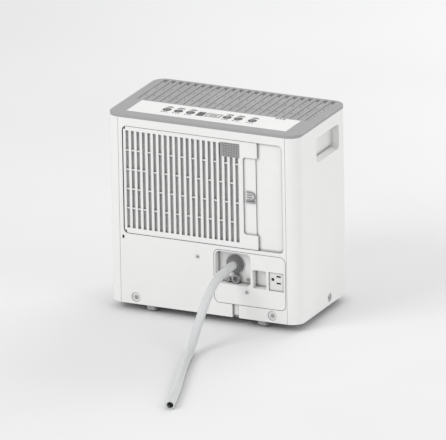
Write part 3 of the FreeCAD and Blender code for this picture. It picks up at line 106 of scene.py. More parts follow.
class Graph:
    """One material's node tree, with a short call for each kind of node that it uses."""

    def __init__(self, name):
        self.material = bpy.data.materials.new(name)
        self.material.use_nodes = True
        self.tree = self.material.node_tree
        self.shader = self.tree.nodes["Principled BSDF"]
        self.place = self.add("ShaderNodeTexCoord").outputs["Object"]

    def add(self, kind, settings=(), **sockets):
        node = self.tree.nodes.new(kind)
        for key, value in dict(settings).items():
            setattr(node, key, value)
        for key, value in sockets.items():
            self.feed(node.inputs[key.replace("_", " ")], value)
        return node

    def feed(self, socket, value):
        if isinstance(value, bpy.types.NodeSocket):
            self.tree.links.new(value, socket)
        else:
            socket.default_value = value

    def set(self, **sockets):
        for key, value in sockets.items():
            self.feed(self.shader.inputs[key.replace("_", " ")], value)

    def noise(self, size, detail=2.0, stretch=(1, 1, 1)):
        """Noise whose blotches are about size metres across."""
        at = self.add("ShaderNodeMapping", Vector=self.place, Scale=stretch).outputs[0]
        return self.add("ShaderNodeTexNoise", Vector=at, Scale=1 / size, Detail=detail).outputs["Fac"]

    def spread(self, value, low, high, start=0.3, end=0.7):
        return self.add("ShaderNodeMapRange", Value=value, From_Min=start, From_Max=end,
                        To_Min=low, To_Max=high).outputs[0]

    def mix(self, factor, first, second):
        node = self.add("ShaderNodeMix", {"data_type": "RGBA"})
        self.feed(node.inputs["Factor"], factor)
        self.feed(node.inputs[6], first)
        self.feed(node.inputs[7], second)
        return node.outputs[2]

    def open_sky(self, reach):
        """1 on an open surface, falling towards 0 in a groove or corner narrower than reach."""
        return self.add("ShaderNodeAmbientOcclusion", {"samples": 6}, Distance=reach).outputs["AO"]

    def soft_edges(self, radius):
        return self.add("ShaderNodeBevel", {"samples": 4}, Radius=radius).outputs[0]

    def bump(self, height, depth, strength=1.0, under=None):
        node = self.add("ShaderNodeBump", Height=height, Distance=depth, Strength=strength)
        if under is not None:
            self.feed(node.inputs["Normal"], under)
        return node.outputs[0]


def scaled(colour, factor):
    return tuple(min(1.0, part * factor) for part in colour[:3]) + (1.0,)


def moulded(name, colour, rough=0.42, grain=0.9 * MM, depth=0.03 * MM, dust_and_shade=0.5, reach=4 * MM,
            edge=0.5 * MM, rub=1.06, shut=0.4, clear=0.94):
    """Injection-moulded plastic: a fine spark-eroded grain, faint flow marks, and painted shade in the
    gaps, grooves and corners.
    """
    graph = Graph(name)
    flow = graph.noise(0.16, 3.0, (1, 1, 0.35))
    haze = graph.noise(0.03, 4.0)
    specks = graph.noise(grain, 2.0)
    body = graph.mix(graph.spread(flow, 0, 1), scaled(colour, 0.965), scaled(colour, 1.01))
    body = graph.mix(graph.spread(haze, 0, 0.35, 0.55, 0.8), body, scaled(colour, rub))
    # Painted shade: the colour is mixed towards a darker copy of itself where ambient occlusion finds a
    # gap, groove or corner within reach.
    unshaded_part = graph.spread(graph.open_sky(reach), 0, 1, shut, clear)
    graph.set(Base_Color=graph.mix(unshaded_part, scaled(colour, 1 - dust_and_shade), body))
    graph.set(Roughness=graph.spread(haze, rough - 0.06, rough + 0.08))
    rounded = graph.soft_edges(edge)
    waves = graph.bump(flow, 0.5 * MM, 0.25, rounded)
    graph.set(Normal=graph.bump(specks, depth, 0.8, waves))
    return graph


def white_plastic():
    graph = moulded("white_moulded", (0.82, 0.82, 0.81), rough=0.38, dust_and_shade=0.72, reach=6 * MM,
                    shut=0.45, clear=0.96)
    graph.set(Specular_IOR_Level=0.45)
    return graph.material


def grey_plastic():
    return moulded("grey_moulded", (0.34, 0.34, 0.345), rough=0.46, grain=0.7 * MM,
                   depth=0.05 * MM, dust_and_shade=0.3).material


def screen_plastic():
    return moulded("screen_moulded", (0.40, 0.40, 0.40), rough=0.5, grain=0.5 * MM, dust_and_shade=0.25,
                   reach=2 * MM, edge=0.2 * MM).material


def wheel_nylon():
    """Grey nylon of the castor wheels, with darker scuffs."""
    return moulded("wheel_nylon", (0.40, 0.40, 0.40), rough=0.4, grain=0.5 * MM, dust_and_shade=0.6,
                   rub=0.8).material


def button_plastic():
    graph = moulded("button_moulded", (0.07, 0.07, 0.073), rough=0.4, grain=0.5 * MM,
                    depth=0.02 * MM, dust_and_shade=0.3, edge=0.4 * MM)
    graph.set(Coat_Weight=0.1)
    return graph.material


def dark_plastic():
    return moulded("dark_moulded", (0.045, 0.045, 0.048), rough=0.5, grain=0.6 * MM,
                   depth=0.05 * MM, dust_and_shade=0.3, rub=1.5).material


def plug_plastic():
    return moulded("socket_moulded", (0.74, 0.74, 0.73), rough=0.45, grain=0.6 * MM,
                   depth=0.04 * MM, dust_and_shade=0.92, reach=5 * MM, shut=0.5, clear=0.97).material


def nut_plastic():
    return moulded("nut_moulded", (0.25, 0.25, 0.255), rough=0.42, grain=0.5 * MM,
                   depth=0.04 * MM, dust_and_shade=0.6, edge=0.6 * MM).material


def soft_rubber():
    """Matt rubber with a patchy chalky bloom."""
    graph = Graph("rubber")
    bloom = graph.noise(0.006, 5.0)
    pores = graph.noise(0.5 * MM, 3.0)
    worn = graph.mix(graph.spread(bloom, 0, 1), (0.26, 0.26, 0.26, 1), (0.36, 0.36, 0.355, 1))
    graph.set(Base_Color=worn, Roughness=graph.spread(bloom, 0.7, 0.88))
    graph.set(Normal=graph.bump(pores, 0.06 * MM, 0.7, graph.soft_edges(0.5 * MM)))
    return graph.material


def hose_vinyl():
    """Milky soft vinyl: light scatters in its wall, and its skin is nearly smooth."""
    graph = Graph("hose_vinyl")
    cloud = graph.noise(0.09, 1.0)
    skin = graph.noise(12 * MM, 1.0)
    milky = graph.mix(graph.spread(cloud, 0, 1), (0.585, 0.60, 0.605, 1), (0.62, 0.63, 0.635, 1))
    # Painted shade: the colour goes nearly black where ambient occlusion finds the vinyl closed in, in
    # the bore and where the hose lies against the floor or the cabinet.
    bore_shade = graph.spread(graph.open_sky(12 * MM), 0, 1, 0.1, 0.55)
    graph.set(Base_Color=graph.mix(bore_shade, (0.12, 0.125, 0.13, 1), milky))
    graph.set(Roughness=graph.spread(cloud, 0.28, 0.34))
    graph.set(Coat_Weight=0.6, Coat_Roughness=0.14)
    graph.set(Normal=graph.bump(skin, 0.02 * MM, 0.1))
    return graph.material


def filter_thread():
    """Grey nylon thread of the filter cloth, dustier in some places."""
    graph = Graph("filter_thread")
    dust_and_shade = graph.noise(0.03, 4.0)
    fibre = graph.noise(0.4 * MM, 2.0)
    graph.set(Base_Color=graph.mix(graph.spread(dust_and_shade, 0, 1), (0.66, 0.66, 0.665, 1),
                                   (0.76, 0.755, 0.745, 1)))
    graph.set(Roughness=graph.spread(dust_and_shade, 0.55, 0.8))
    graph.set(Normal=graph.bump(fibre, 0.05 * MM, 0.6))
    return graph.material


def pale_display():
    """The pale display behind a satin window."""
    graph = Graph("display_glass")
    smear = graph.noise(0.012, 3.0)
    wave = graph.noise(0.004, 2.0)
    graph.set(Base_Color=graph.mix(graph.spread(smear, 0, 1), (0.50, 0.52, 0.50, 1),
                                   (0.56, 0.58, 0.56, 1)))
    graph.set(Roughness=graph.spread(smear, 0.08, 0.2), Coat_Weight=0.6)
    graph.set(Normal=graph.bump(wave, 0.02 * MM, 0.3))
    return graph.material


def clear_plastic():
    """Smoky clear plastic of the bucket, lightly scuffed."""
    graph = Graph("bucket_plastic")
    scuff = graph.noise(0.01, 5.0, (1, 1, 0.2))
    wave = graph.noise(0.05, 2.0)
    graph.set(Base_Color=graph.mix(graph.spread(wave, 0, 1), (0.62, 0.67, 0.70, 1),
                                   (0.68, 0.72, 0.74, 1)))
    graph.set(Roughness=graph.spread(scuff, 0.12, 0.32))
    graph.set(Transmission_Weight=0.55, IOR=1.49)
    graph.set(Normal=graph.bump(wave, 0.3 * MM, 0.3, graph.soft_edges(0.6 * MM)))
    return graph.material


def float_foam():
    """Closed-cell foam: small pale cells with darker walls."""
    graph = Graph("float_foam_cells")
    cells = graph.add("ShaderNodeTexVoronoi", Vector=graph.place, Scale=900).outputs["Distance"]
    graph.set(Base_Color=graph.mix(graph.spread(cells, 0, 1, 0.1, 0.6), (0.82, 0.82, 0.79, 1),
                                   (0.66, 0.66, 0.63, 1)))
    graph.set(Roughness=graph.spread(cells, 0.75, 0.9, 0.1, 0.6))
    graph.set(Normal=graph.bump(cells, 0.15 * MM, 0.6))
    return graph.material


def circuit_board():
    """Green solder mask with copper tracks showing through it."""
    graph = Graph("board_mask")
    at = graph.add("ShaderNodeMapping", Vector=graph.place, Scale=(1, 0.2, 1)).outputs[0]
    tracks = graph.add("ShaderNodeTexVoronoi", {"distance": "MANHATTAN"}, Vector=at,
                       Scale=260).outputs["Distance"]
    mask = graph.noise(0.02, 3.0)
    line = graph.spread(tracks, 0, 1, 0.42, 0.5)
    graph.set(Base_Color=graph.mix(line, (0.015, 0.10, 0.04, 1), (0.05, 0.22, 0.10, 1)))
    graph.set(Roughness=graph.spread(mask, 0.25, 0.4))
    graph.set(Normal=graph.bump(line, 0.04 * MM, 0.8))
    return graph.material


def bare_metal(name, first, second, rough, brushed=(1, 1, 0.04), pitch=0.5 * MM):
    """Metal with drawn or brushed lines and dull blotches."""
    graph = Graph(name)
    blotch = graph.noise(0.015, 4.0)
    lines = graph.noise(pitch, 3.0, brushed)
    graph.set(Base_Color=graph.mix(graph.spread(blotch, 0, 1), first, second), Metallic=1.0)
    graph.set(Roughness=graph.spread(lines, rough - 0.08, rough + 0.12))
    graph.set(Normal=graph.bump(lines, 0.03 * MM, 0.6, graph.soft_edges(0.3 * MM)))
    return graph.material


def fin_aluminium():
    return bare_metal("fin_metal", (0.56, 0.57, 0.58, 1), (0.68, 0.69, 0.70, 1), 0.38)


def copper():
    return bare_metal("copper_tube", (0.55, 0.25, 0.14, 1), (0.72, 0.38, 0.24, 1), 0.3)


def zinc_steel():
    return bare_metal("zinc_steel", (0.42, 0.42, 0.43, 1), (0.55, 0.55, 0.56, 1), 0.34,
                      (1, 1, 1), 0.8 * MM)


def black_paint():
    """Black enamel on the compressor shell, with orange peel and scuffs."""
    graph = Graph("black_enamel")
    peel = graph.noise(2.2 * MM, 2.0)
    scuff = graph.noise(0.02, 6.0)
    graph.set(Base_Color=graph.mix(graph.spread(scuff, 0, 1, 0.55, 0.75), (0.012, 0.012, 0.013, 1),
                                   (0.05, 0.05, 0.05, 1)))
    graph.set(Roughness=graph.spread(scuff, 0.22, 0.45), Coat_Weight=0.3)
    graph.set(Normal=graph.bump(peel, 0.12 * MM, 0.5))
    return graph.material


def printed(name, colour, rough=0.6):
    """Pad-printed ink: thin, and a little uneven."""
    graph = Graph(name)
    uneven = graph.noise(1.2 * MM, 3.0)
    tone = graph.mix(graph.spread(uneven, 0, 1), scaled(colour, 0.88), scaled(colour, 1))
    graph.set(Base_Color=tone)
    graph.set(Roughness=graph.spread(uneven, rough - 0.08, rough + 0.08))
    graph.set(Normal=graph.bump(uneven, 0.02 * MM, 0.5))
    return graph.material


# ---------------------------------------------------------------- mesh tools

def finished(name, shape, material, body, smooth=False):
    """The object made of a bmesh, riding on a body and wearing the given material."""
    bmesh.ops.recalc_face_normals(shape, faces=shape.faces)
    mesh = bpy.data.meshes.new(name)
    shape.to_mesh(mesh)
    shape.free()
    mesh.polygons.foreach_set("use_smooth", [smooth] * len(mesh.polygons))
    mesh.materials.append(material)
    piece = bpy.data.objects.new(name, mesh)
    bpy.context.scene.collection.objects.link(piece)
    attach(piece, body)
    return piece


def add_box(shape, low, high):
    corners = [shape.verts.new((x, y, z)) for x in (low[0], high[0]) for y in (low[1], high[1])
               for z in (low[2], high[2])]
    for sides in ((0, 1, 3, 2), (4, 6, 7, 5), (0, 4, 5, 1), (2, 3, 7, 6), (0, 2, 6, 4),
                  (1, 5, 7, 3)):
        shape.faces.new([corners[corner] for corner in sides])


def add_prism(shape, outline, low, high):
    """A flat plate with the given outline, from the height low to the height high."""
    bottom = [shape.verts.new((x, y, low)) for x, y in outline]
    top = [shape.verts.new((x, y, high)) for x, y in outline]
    shape.faces.new(bottom[::-1])
    shape.faces.new(top)
    count = len(outline)
    for number in range(count):
        after = (number + 1) % count
        shape.faces.new((bottom[number], bottom[after], top[after], top[number]))


def arc_points(middle, radius, start, end, steps):
    return [(middle[0] + radius * math.cos(math.radians(start + (end - start) * step / steps)),
             middle[1] + radius * math.sin(math.radians(start + (end - start) * step / steps)))
            for step in range(steps + 1)]


def add_arc(shape, middle, radius, width, start, end, low, high, steps=20):
    """A flat curved bar from one angle to another."""
    outer = arc_points(middle, radius + width / 2, start, end, steps)
    inner = arc_points(middle, radius - width / 2, start, end, steps)
    add_prism(shape, outer + inner[::-1], low, high)


def add_bar(shape, first, second, width, low, high):
    """A flat straight bar between two points."""
    along = (Vector(second) - Vector(first)).normalized()
    across = Vector((-along.y, along.x)) * width / 2
    outline = [Vector(first) + across, Vector(first) - across, Vector(second) - across,
               Vector(second) + across]
    add_prism(shape, [tuple(point) for point in outline], low, high)


def add_dot(shape, x, y, radius, low, high):
    """A flat dot with twelve sides."""
    add_prism(shape, arc_points((x, y), radius, 0, 330, DOT_STEPS), low, high)


def add_circle(shape, radius, height, sides):
    return [shape.verts.new((radius * math.cos(2 * math.pi * side / sides),
                             radius * math.sin(2 * math.pi * side / sides), height))
            for side in range(sides)]


def join_rings(shape, first, second):
    for side in range(len(first)):
        after = (side + 1) % len(first)
        shape.faces.new((first[side], first[after], second[after], second[side]))


def ring_edges(shape, ring):
    edges = []
    for side in range(len(ring)):
        pair = (ring[side], ring[(side + 1) % len(ring)])
        edges.append(shape.edges.get(pair) or shape.edges.new(pair))
    return edges


# ---------------------------------------------------------------- camera, stage and light

def make_camera():
    data = bpy.data.cameras.new("camera")
    data.lens = LENS
    data.sensor_width = SENSOR
    camera = bpy.data.objects.new("camera", data)
    bpy.context.scene.collection.objects.link(camera)
    right = Vector((math.cos(AZIMUTH), math.sin(AZIMUTH), 0))
    level = math.cos(ELEVATION)
    back = Vector((math.sin(AZIMUTH) * level, -math.cos(AZIMUTH) * level, math.sin(ELEVATION)))
    up = back.cross(right)
    side = right * math.cos(ROLL) - up * math.sin(ROLL)
    top = right * math.sin(ROLL) + up * math.cos(ROLL)
    turn = Matrix((side, top, back)).transposed()
    distance = SEEN_WIDTH * LENS / SENSOR
    camera.matrix_world = Matrix.Translation(AIM + back * distance) @ turn.to_4x4()
    data.clip_start = distance * NEAR_CLIP
    data.clip_end = distance * FAR_CLIP
    bpy.context.scene.camera = camera


def make_floor():
    shape = bmesh.new()
    shape.faces.new([shape.verts.new((x * FLOOR_HALF, y * FLOOR_HALF, 0))
                     for x, y in ((-1, -1), (1, -1), (1, 1), (-1, 1))])
    mesh = bpy.data.meshes.new("floor")
    shape.to_mesh(mesh)
    shape.free()
    graph = Graph("floor_paper")
    tone = graph.noise(0.6, 2.0)
    graph.set(Base_Color=graph.mix(graph.spread(tone, 0, 1), (0.76, 0.76, 0.765, 1),
                                   (0.79, 0.79, 0.795, 1)))
    graph.set(Roughness=0.9, Specular_IOR_Level=0.1)
    mesh.materials.append(graph.material)
    floor = bpy.data.objects.new("floor", mesh)
    bpy.context.scene.collection.objects.link(floor)


def area_light(name, place, size, power):
    """A square lamp aimed at the middle of the cabinet."""
    data = bpy.data.lights.new(name, "AREA")
    data.size = size
    data.energy = power
    lamp = bpy.data.objects.new(name, data)
    bpy.context.scene.collection.objects.link(lamp)
    lamp.location = place
    aim = Vector(LIT_POINT) - Vector(place)
    lamp.rotation_euler = aim.to_track_quat("-Z", "Y").to_euler()


def make_light():
    world = bpy.data.worlds.new("studio")
    world.use_nodes = True
    sky = world.node_tree.nodes["Background"]
    sky.inputs["Color"].default_value = (1, 1, 1, 1)
    sky.inputs["Strength"].default_value = SKY_STRENGTH
    bpy.context.scene.world = world
    for name, (place, size, power) in LAMPS.items():
        area_light(name, place, size, power)
    bpy.context.scene.view_settings.view_transform = "Standard"


# ---------------------------------------------------------------- the hose

def hose_line():
    """Points along the smooth centreline of the hose, read from its spline."""
    data = bpy.data.curves.new("hose_line", "CURVE")
    data.dimensions = "3D"
    data.resolution_u = HOSE_STEPS
    spline = data.splines.new("NURBS")
    spline.points.add(len(HOSE_ROUTE) - 1)
    for point, (x, y, z) in zip(spline.points, HOSE_ROUTE):
        point.co = (x * MM, y * MM, z * MM, 1)
    spline.order_u = HOSE_ORDER
    spline.use_endpoint_u = True
    line = bpy.data.objects.new("hose_line", data)
    bpy.context.scene.collection.objects.link(line)
    bpy.context.view_layer.update()
    mesh = bpy.data.meshes.new_from_object(line)
    points = [vertex.co.copy() for vertex in mesh.vertices]
    bpy.data.objects.remove(line)
    bpy.data.meshes.remove(mesh)
    return points


def ring_around(shape, middle, along, across, radius):
    other = along.cross(across)
    ring = []
    for side in range(HOSE_SIDES):
        angle = 2 * math.pi * side / HOSE_SIDES
        ring.append(shape.verts.new(middle + radius * (math.cos(angle) * across
                                                       + math.sin(angle) * other)))
    return ring


def make_hose(vinyl):
    """A tube with a real wall, open at its cut end."""
    points = hose_line()
    shape = bmesh.new()
    outer, inner = [], []
    across = Vector((1, 0, 0))
    last = len(points) - 1
    for number, point in enumerate(points):
        along = (points[min(number + 1, last)] - points[max(number - 1, 0)]).normalized()
        across = (across - along * across.dot(along)).normalized()
        outer.append(ring_around(shape, point, along, across, HOSE_RADIUS))
        inner.append(ring_around(shape, point, along, across, HOSE_BORE))
    for rings in (outer, inner):
        for number in range(last):
            join_rings(shape, rings[number], rings[number + 1])
    join_rings(shape, outer[0], inner[0])
    join_rings(shape, outer[last], inner[last])
    hose = finished("hose_tube", shape, vinyl, "root", smooth=True)
    hose.data.set_sharp_from_angle(angle=HOSE_CUT)
    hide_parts("drain_hose")


# ---------------------------------------------------------------- screws

def add_screw(shape, place, head, thick, shank, long):
    """A pan-head screw with a cross recess; its head stands on the local plane z = 0."""
    start = len(shape.verts)
    profile = [(radius * head, height * thick) for radius, height in HEAD_PROFILE]
    profile += [(shank, 0), (shank, shank - long), (POINT_RADIUS * shank, -long)]
    rings = [add_circle(shape, radius, height, SCREW_SIDES) for radius, height in profile]
    for first, second in zip(rings, rings[1:]):
        join_rings(shape, first, second)
    shape.faces.new(rings[-1])
    half = RECESS_HALF * head
    arm = RECESS_ARM * head
    outline = []
    for turn in range(4):
        spin = Matrix.Rotation(turn * math.pi / 2, 2)
        outline += [spin @ Vector(spot) for spot in ((arm, -half), (arm, half), (half, half))]
    brim = [shape.verts.new((spot.x, spot.y, thick)) for spot in outline]
    floor = [shape.verts.new((spot.x * RECESS_TAPER, spot.y * RECESS_TAPER, RECESS_FLOOR * thick))
             for spot in outline]
    join_rings(shape, brim, floor)
    shape.faces.new(floor)
    bmesh.ops.triangle_fill(shape, edges=ring_edges(shape, rings[0]) + ring_edges(shape, brim))
    bmesh.ops.transform(shape, matrix=place, verts=list(shape.verts)[start:])


def make_screws(steel):
    """The screws of the covers, one on each side too, and the small ones of the panels."""
    rearwards = Matrix.Rotation(math.pi / 2, 4, "X")
    shape = bmesh.new()
    for side in (-1, 1):
        x, y, z = REAR_SCREW
        place = Matrix.Translation(Vector((x * side, y, z)) * MM) @ rearwards
        add_screw(shape, place @ Matrix.Rotation(SCREW_TURN * side, 4, "Z"), *COVER_SCREW)
        x, y, z = SIDE_SCREW
        sideways = Matrix.Rotation(side * math.pi / 2, 4, "Y")
        place = Matrix.Translation(Vector((x * side, y, z)) * MM) @ sideways
        add_screw(shape, place @ Matrix.Rotation(SCREW_TURN, 4, "Z"), *COVER_SCREW)
    big = finished("cover_screw_set", shape, steel, "root", smooth=True)
    shape = bmesh.new()
    for x, y, z in PANEL_SCREW_PLACES:
        place = Matrix.Translation(Vector((x, y, z)) * MM) @ rearwards
        add_screw(shape, place @ Matrix.Rotation(SCREW_TURN * x, 4, "Z"), *PANEL_SCREW)
    small = finished("panel_screw_set", shape, steel, "root", smooth=True)
    for screws, node in ((big, "cover_screws"), (small, "panel_screws")):
        screws.data.set_sharp_from_angle(angle=SCREW_CREASE)
        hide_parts(node)


# ---------------------------------------------------------------- the filter and the coils

def make_filter_cloth(thread):
    """The filter cloth: two crossing rows of fine threads in a thin frame."""
    low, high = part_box("filter_mesh")
    pitch = 1.1 * MM
    half = 0.2 * MM
    rim = 2.0 * MM
    middle = (low.y + high.y) / 2
    shape = bmesh.new()
    for number in range(1, int((high.x - low.x) / pitch)):
        x = low.x + pitch * number
        add_box(shape, (x - half, middle - 2 * half, low.z + rim / 2),
                (x + half, middle, high.z - rim / 2))
    for number in range(1, int((high.z - low.z) / pitch)):
        z = low.z + pitch * number
        add_box(shape, (low.x + rim / 2, middle, z - half),
                (high.x - rim / 2, middle + 2 * half, z + half))
    add_box(shape, low, (low.x + rim, high.y, high.z))
    add_box(shape, (high.x - rim, low.y, low.z), high)
    add_box(shape, (low.x + rim, low.y, low.z), (high.x - rim, high.y, low.z + rim))
    add_box(shape, (low.x + rim, low.y, high.z - rim), (high.x - rim, high.y, high.z))
    cloth = finished("filter_weave", shape, thread, "filter_cover")
    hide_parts("filter_mesh")


def add_return_bend(shape, middle, outward, bend_radius, tube_radius):
    """A half ring of tube at the end of a coil, standing upright."""
    steps, sides = 12, 12
    rings = []
    for step in range(steps + 1):
        angle = math.pi * step / steps - math.pi / 2
        spoke = Vector((math.cos(angle) * outward, 0, math.sin(angle)))
        centre = middle + spoke * bend_radius
        ring = []
        for side in range(sides):
            turn = 2 * math.pi * side / sides
            around = math.cos(turn) * spoke + math.sin(turn) * Vector((0, 1, 0))
            ring.append(shape.verts.new(centre + tube_radius * around))
        rings.append(ring)
    for number in range(steps):
        join_rings(shape, rings[number], rings[number + 1])
    shape.faces.new(rings[0])
    shape.faces.new(rings[-1])


def make_coil(name, node, metal, pipe):
    """A coil of thin fins between two end plates, with bare return bends at its two ends; its straight
    tubes inside the fins are not built.
    """
    low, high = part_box(node)
    bend = 10 * MM
    tube = 4 * MM
    ends = 14 * MM
    plate = 1.2 * MM
    fin_pitch = 2.4 * MM
    fin = 0.15 * MM
    in_y, in_z = 1 * MM, 2 * MM
    joint = 1 * MM
    left, right = low.x + ends, high.x - ends
    shape = bmesh.new()
    for x in (left, right - plate):
        add_box(shape, (x, low.y, low.z), (x + plate, high.y, high.z))
    count = int((right - left - 2 * plate) / fin_pitch)
    for number in range(1, count):
        x = left + plate + fin_pitch * number
        add_box(shape, (x - fin, low.y + in_y, low.z + in_z), (x + fin, high.y - in_y, high.z - in_z))
    fins = finished(name, shape, metal, "root")
    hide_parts(node)
    shape = bmesh.new()
    middle = (low.y + high.y) / 2
    step = (high.z - low.z) / BENDS
    for number in range(BENDS):
        z = low.z + step * (number + 0.5)
        add_return_bend(shape, Vector((left + joint, middle, z)), -1, bend, tube)
        add_return_bend(shape, Vector((right - joint, middle, z)), 1, bend, tube)
    finished(name + "_bends", shape, pipe, "root", smooth=True)


def make_latch(white, grey):
    """The thumb catch: a plate with a rounded end, and a grey grip moulded on it."""
    low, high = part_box("filter_latch")
    thick = high.y - low.y
    foot = 3.8 * MM
    radius = (high.z - low.z - foot) / 2
    middle = (high.x - radius, high.z - radius)
    skin = 0.9 * MM
    rim = 1.7 * MM
    ledge = 2.4 * MM
    lip = 0.2 * MM
    rib_rise, rib_wide, rib_down = 2.2 * MM, 1.3 * MM, 0.4 * MM
    upright = Matrix.Translation((0, high.y, 0)) @ Matrix.Rotation(math.pi / 2, 4, "X")

    def end_curve(inset, start, end):
        return arc_points(middle, radius - inset, start, end, 16)

    left = low.x
    shape = bmesh.new()
    outline = [(left, low.z), (high.x, low.z), (high.x, low.z + ledge), (middle[0], low.z + ledge)]
    add_prism(shape, outline + end_curve(0, -90, 90) + [(left, high.z)], 0, skin)
    bmesh.ops.transform(shape, matrix=upright, verts=shape.verts)
    plate = finished("latch_plate", shape, white, "latch")
    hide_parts("filter_latch")

    shape = bmesh.new()
    base = skin - INK_UNDER
    near, far = left + rim, middle[0] + 2 * MM
    outer = [(near, low.z + foot)] + end_curve(lip, -90, 90) + [(near, high.z)]
    inner = [(near, high.z - rim)] + end_curve(rim, 90, -90) + [(near, low.z + foot + rim)]
    add_prism(shape, outer + inner, base, thick)
    for z in (middle[1] - rib_rise, middle[1] + rib_rise):
        add_bar(shape, (near, z), (far, z), rib_wide, base, thick - rib_down)
    z = low.z + ledge / 2
    add_bar(shape, (left, z), (high.x, z), ledge, base, thick)
    bmesh.ops.transform(shape, matrix=upright, verts=shape.verts)
    finished("latch_grip", shape, grey, "latch")


def make_louvre_stops(grey):
    """A block at the far end of each louvre slot, behind its slat."""
    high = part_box("top_grille")[1]
    pitch = 15.2 * MM
    half = 4.2 * MM
    near, far = 97.5 * MM, 101.2 * MM
    foot, shoulder, crown = -6.5 * MM, -3.0 * MM, -1.2 * MM
    shape = bmesh.new()
    for number in range(LOUVRES):
        x = (number - (LOUVRES - 1) / 2) * pitch
        outline = [(x - half, foot), (x + half, foot), (x + half, shoulder), (x - half, crown)]
        add_prism(shape, outline, -far, -near)
    upright = Matrix.Translation((0, 0, high.z)) @ Matrix.Rotation(math.pi / 2, 4, "X")
    bmesh.ops.transform(shape, matrix=upright, verts=shape.verts)
    finished("louvre_stops", shape, grey, "root")


def make_outlet_guard(grey):
    """The net of fine bars under the louvres, which keeps fingers off the fan."""
    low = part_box("top_grille")[0]
    reach = 178 * MM
    near, far = -20 * MM, 103 * MM
    drop = 0.4 * MM
    level = low.z - drop
    half = 0.55 * MM
    pitch = 2.4 * MM
    shape = bmesh.new()
    for number in range(int(2 * reach / pitch) + 1):
        x = number * pitch - reach
        add_box(shape, (x - half, near, level - half), (x + half, far, level))
    for number in range(int((far - near) / pitch) + 1):
        y = near + number * pitch
        add_box(shape, (-reach, y - half, level - 2 * half), (reach, y + half, level - half))
    finished("outlet_guard", shape, grey, "root")


# ---------------------------------------------------------------- the control strip

# Each picture is drawn round the origin, with its top towards +Y.

def icon_mode(shape, low, high):
    """Two arrows that follow each other round a circle."""
    for turn in (0, math.pi):
        start = len(shape.verts)
        add_arc(shape, (0, 0), 3.6 * MM, 0.9 * MM, 20, 150, low, high)
        tip = [(2.2 * MM, 0.9 * MM), (4.9 * MM, 0.6 * MM), (4.2 * MM, 3.0 * MM)]
        add_prism(shape, tip, low, high)
        half_turn = Matrix.Rotation(turn, 4, "Z")
        bmesh.ops.transform(shape, matrix=half_turn, verts=list(shape.verts)[start:])


def icon_fan(shape, low, high):
    """Three half-round blades about a hub."""
    reach, blade = 2.5 * MM, 1.9 * MM
    for turn in (90, 210, 330):
        away = math.radians(turn)
        middle = (reach * math.cos(away), reach * math.sin(away))
        add_prism(shape, arc_points(middle, blade, turn - 60, turn + 120, 10), low, high)
    add_dot(shape, 0, 0, 0.8 * MM, low, high)


def icon_filter(shape, low, high):
    """Four upright bars between two level ones."""
    for x in (-3 * MM, -1 * MM, 1 * MM, 3 * MM):
        add_bar(shape, (x, -3.6 * MM), (x, 3.6 * MM), 0.6 * MM, low, high)
    for y in (-4.2 * MM, 4.2 * MM):
        add_bar(shape, (-3.8 * MM, y), (3.8 * MM, y), 0.7 * MM, low, high)


def icon_humidity(shape, low, high):
    """A drop."""
    drop = arc_points((0, -1.2 * MM), 2.8 * MM, 150, 390, 18)
    add_prism(shape, drop + [(0, 4.4 * MM)], low, high)


def icon_timer(shape, low, high):
    """A clock face with two hands."""
    for start in (0, 180):
        add_arc(shape, (0, 0), 3.8 * MM, 0.8 * MM, start, start + 180, low, high)
    add_bar(shape, (0, 0.4 * MM), (0, 2.7 * MM), 0.7 * MM, low, high)
    add_bar(shape, (0.4 * MM, 0), (2.3 * MM, 0), 0.7 * MM, low, high)


def icon_power(shape, low, high):
    """A ring with a gap at its top, and a bar in the gap."""
    add_arc(shape, (0, 0), 3.7 * MM, 0.9 * MM, 125, 415, low, high, 28)
    add_bar(shape, (0, 0.6 * MM), (0, 4.6 * MM), 0.9 * MM, low, high)


ICONS = {"mode": icon_mode, "fan": icon_fan, "filter": icon_filter, "humidity": icon_humidity,
         "timer": icon_timer, "power": icon_power}


def facing_front(shape, middle, top):
    """Moves a flat drawing from the origin to its place, to be read from the cabinet's front."""
    place = Matrix.Translation((middle.x, middle.y, top)) @ Matrix.Rotation(math.pi, 4, "Z")
    bmesh.ops.transform(shape, matrix=place, verts=shape.verts)


def make_icons(ink):
    """A printed picture on each button, which moves with it."""
    for name in BUTTONS:
        low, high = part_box(name + "_button")
        shape = bmesh.new()
        ICONS[name](shape, -INK_UNDER, INK_OVER)
        facing_front(shape, (low + high) / 2, high.z)
        finished(name + "_icon", shape, ink, name + "_button")


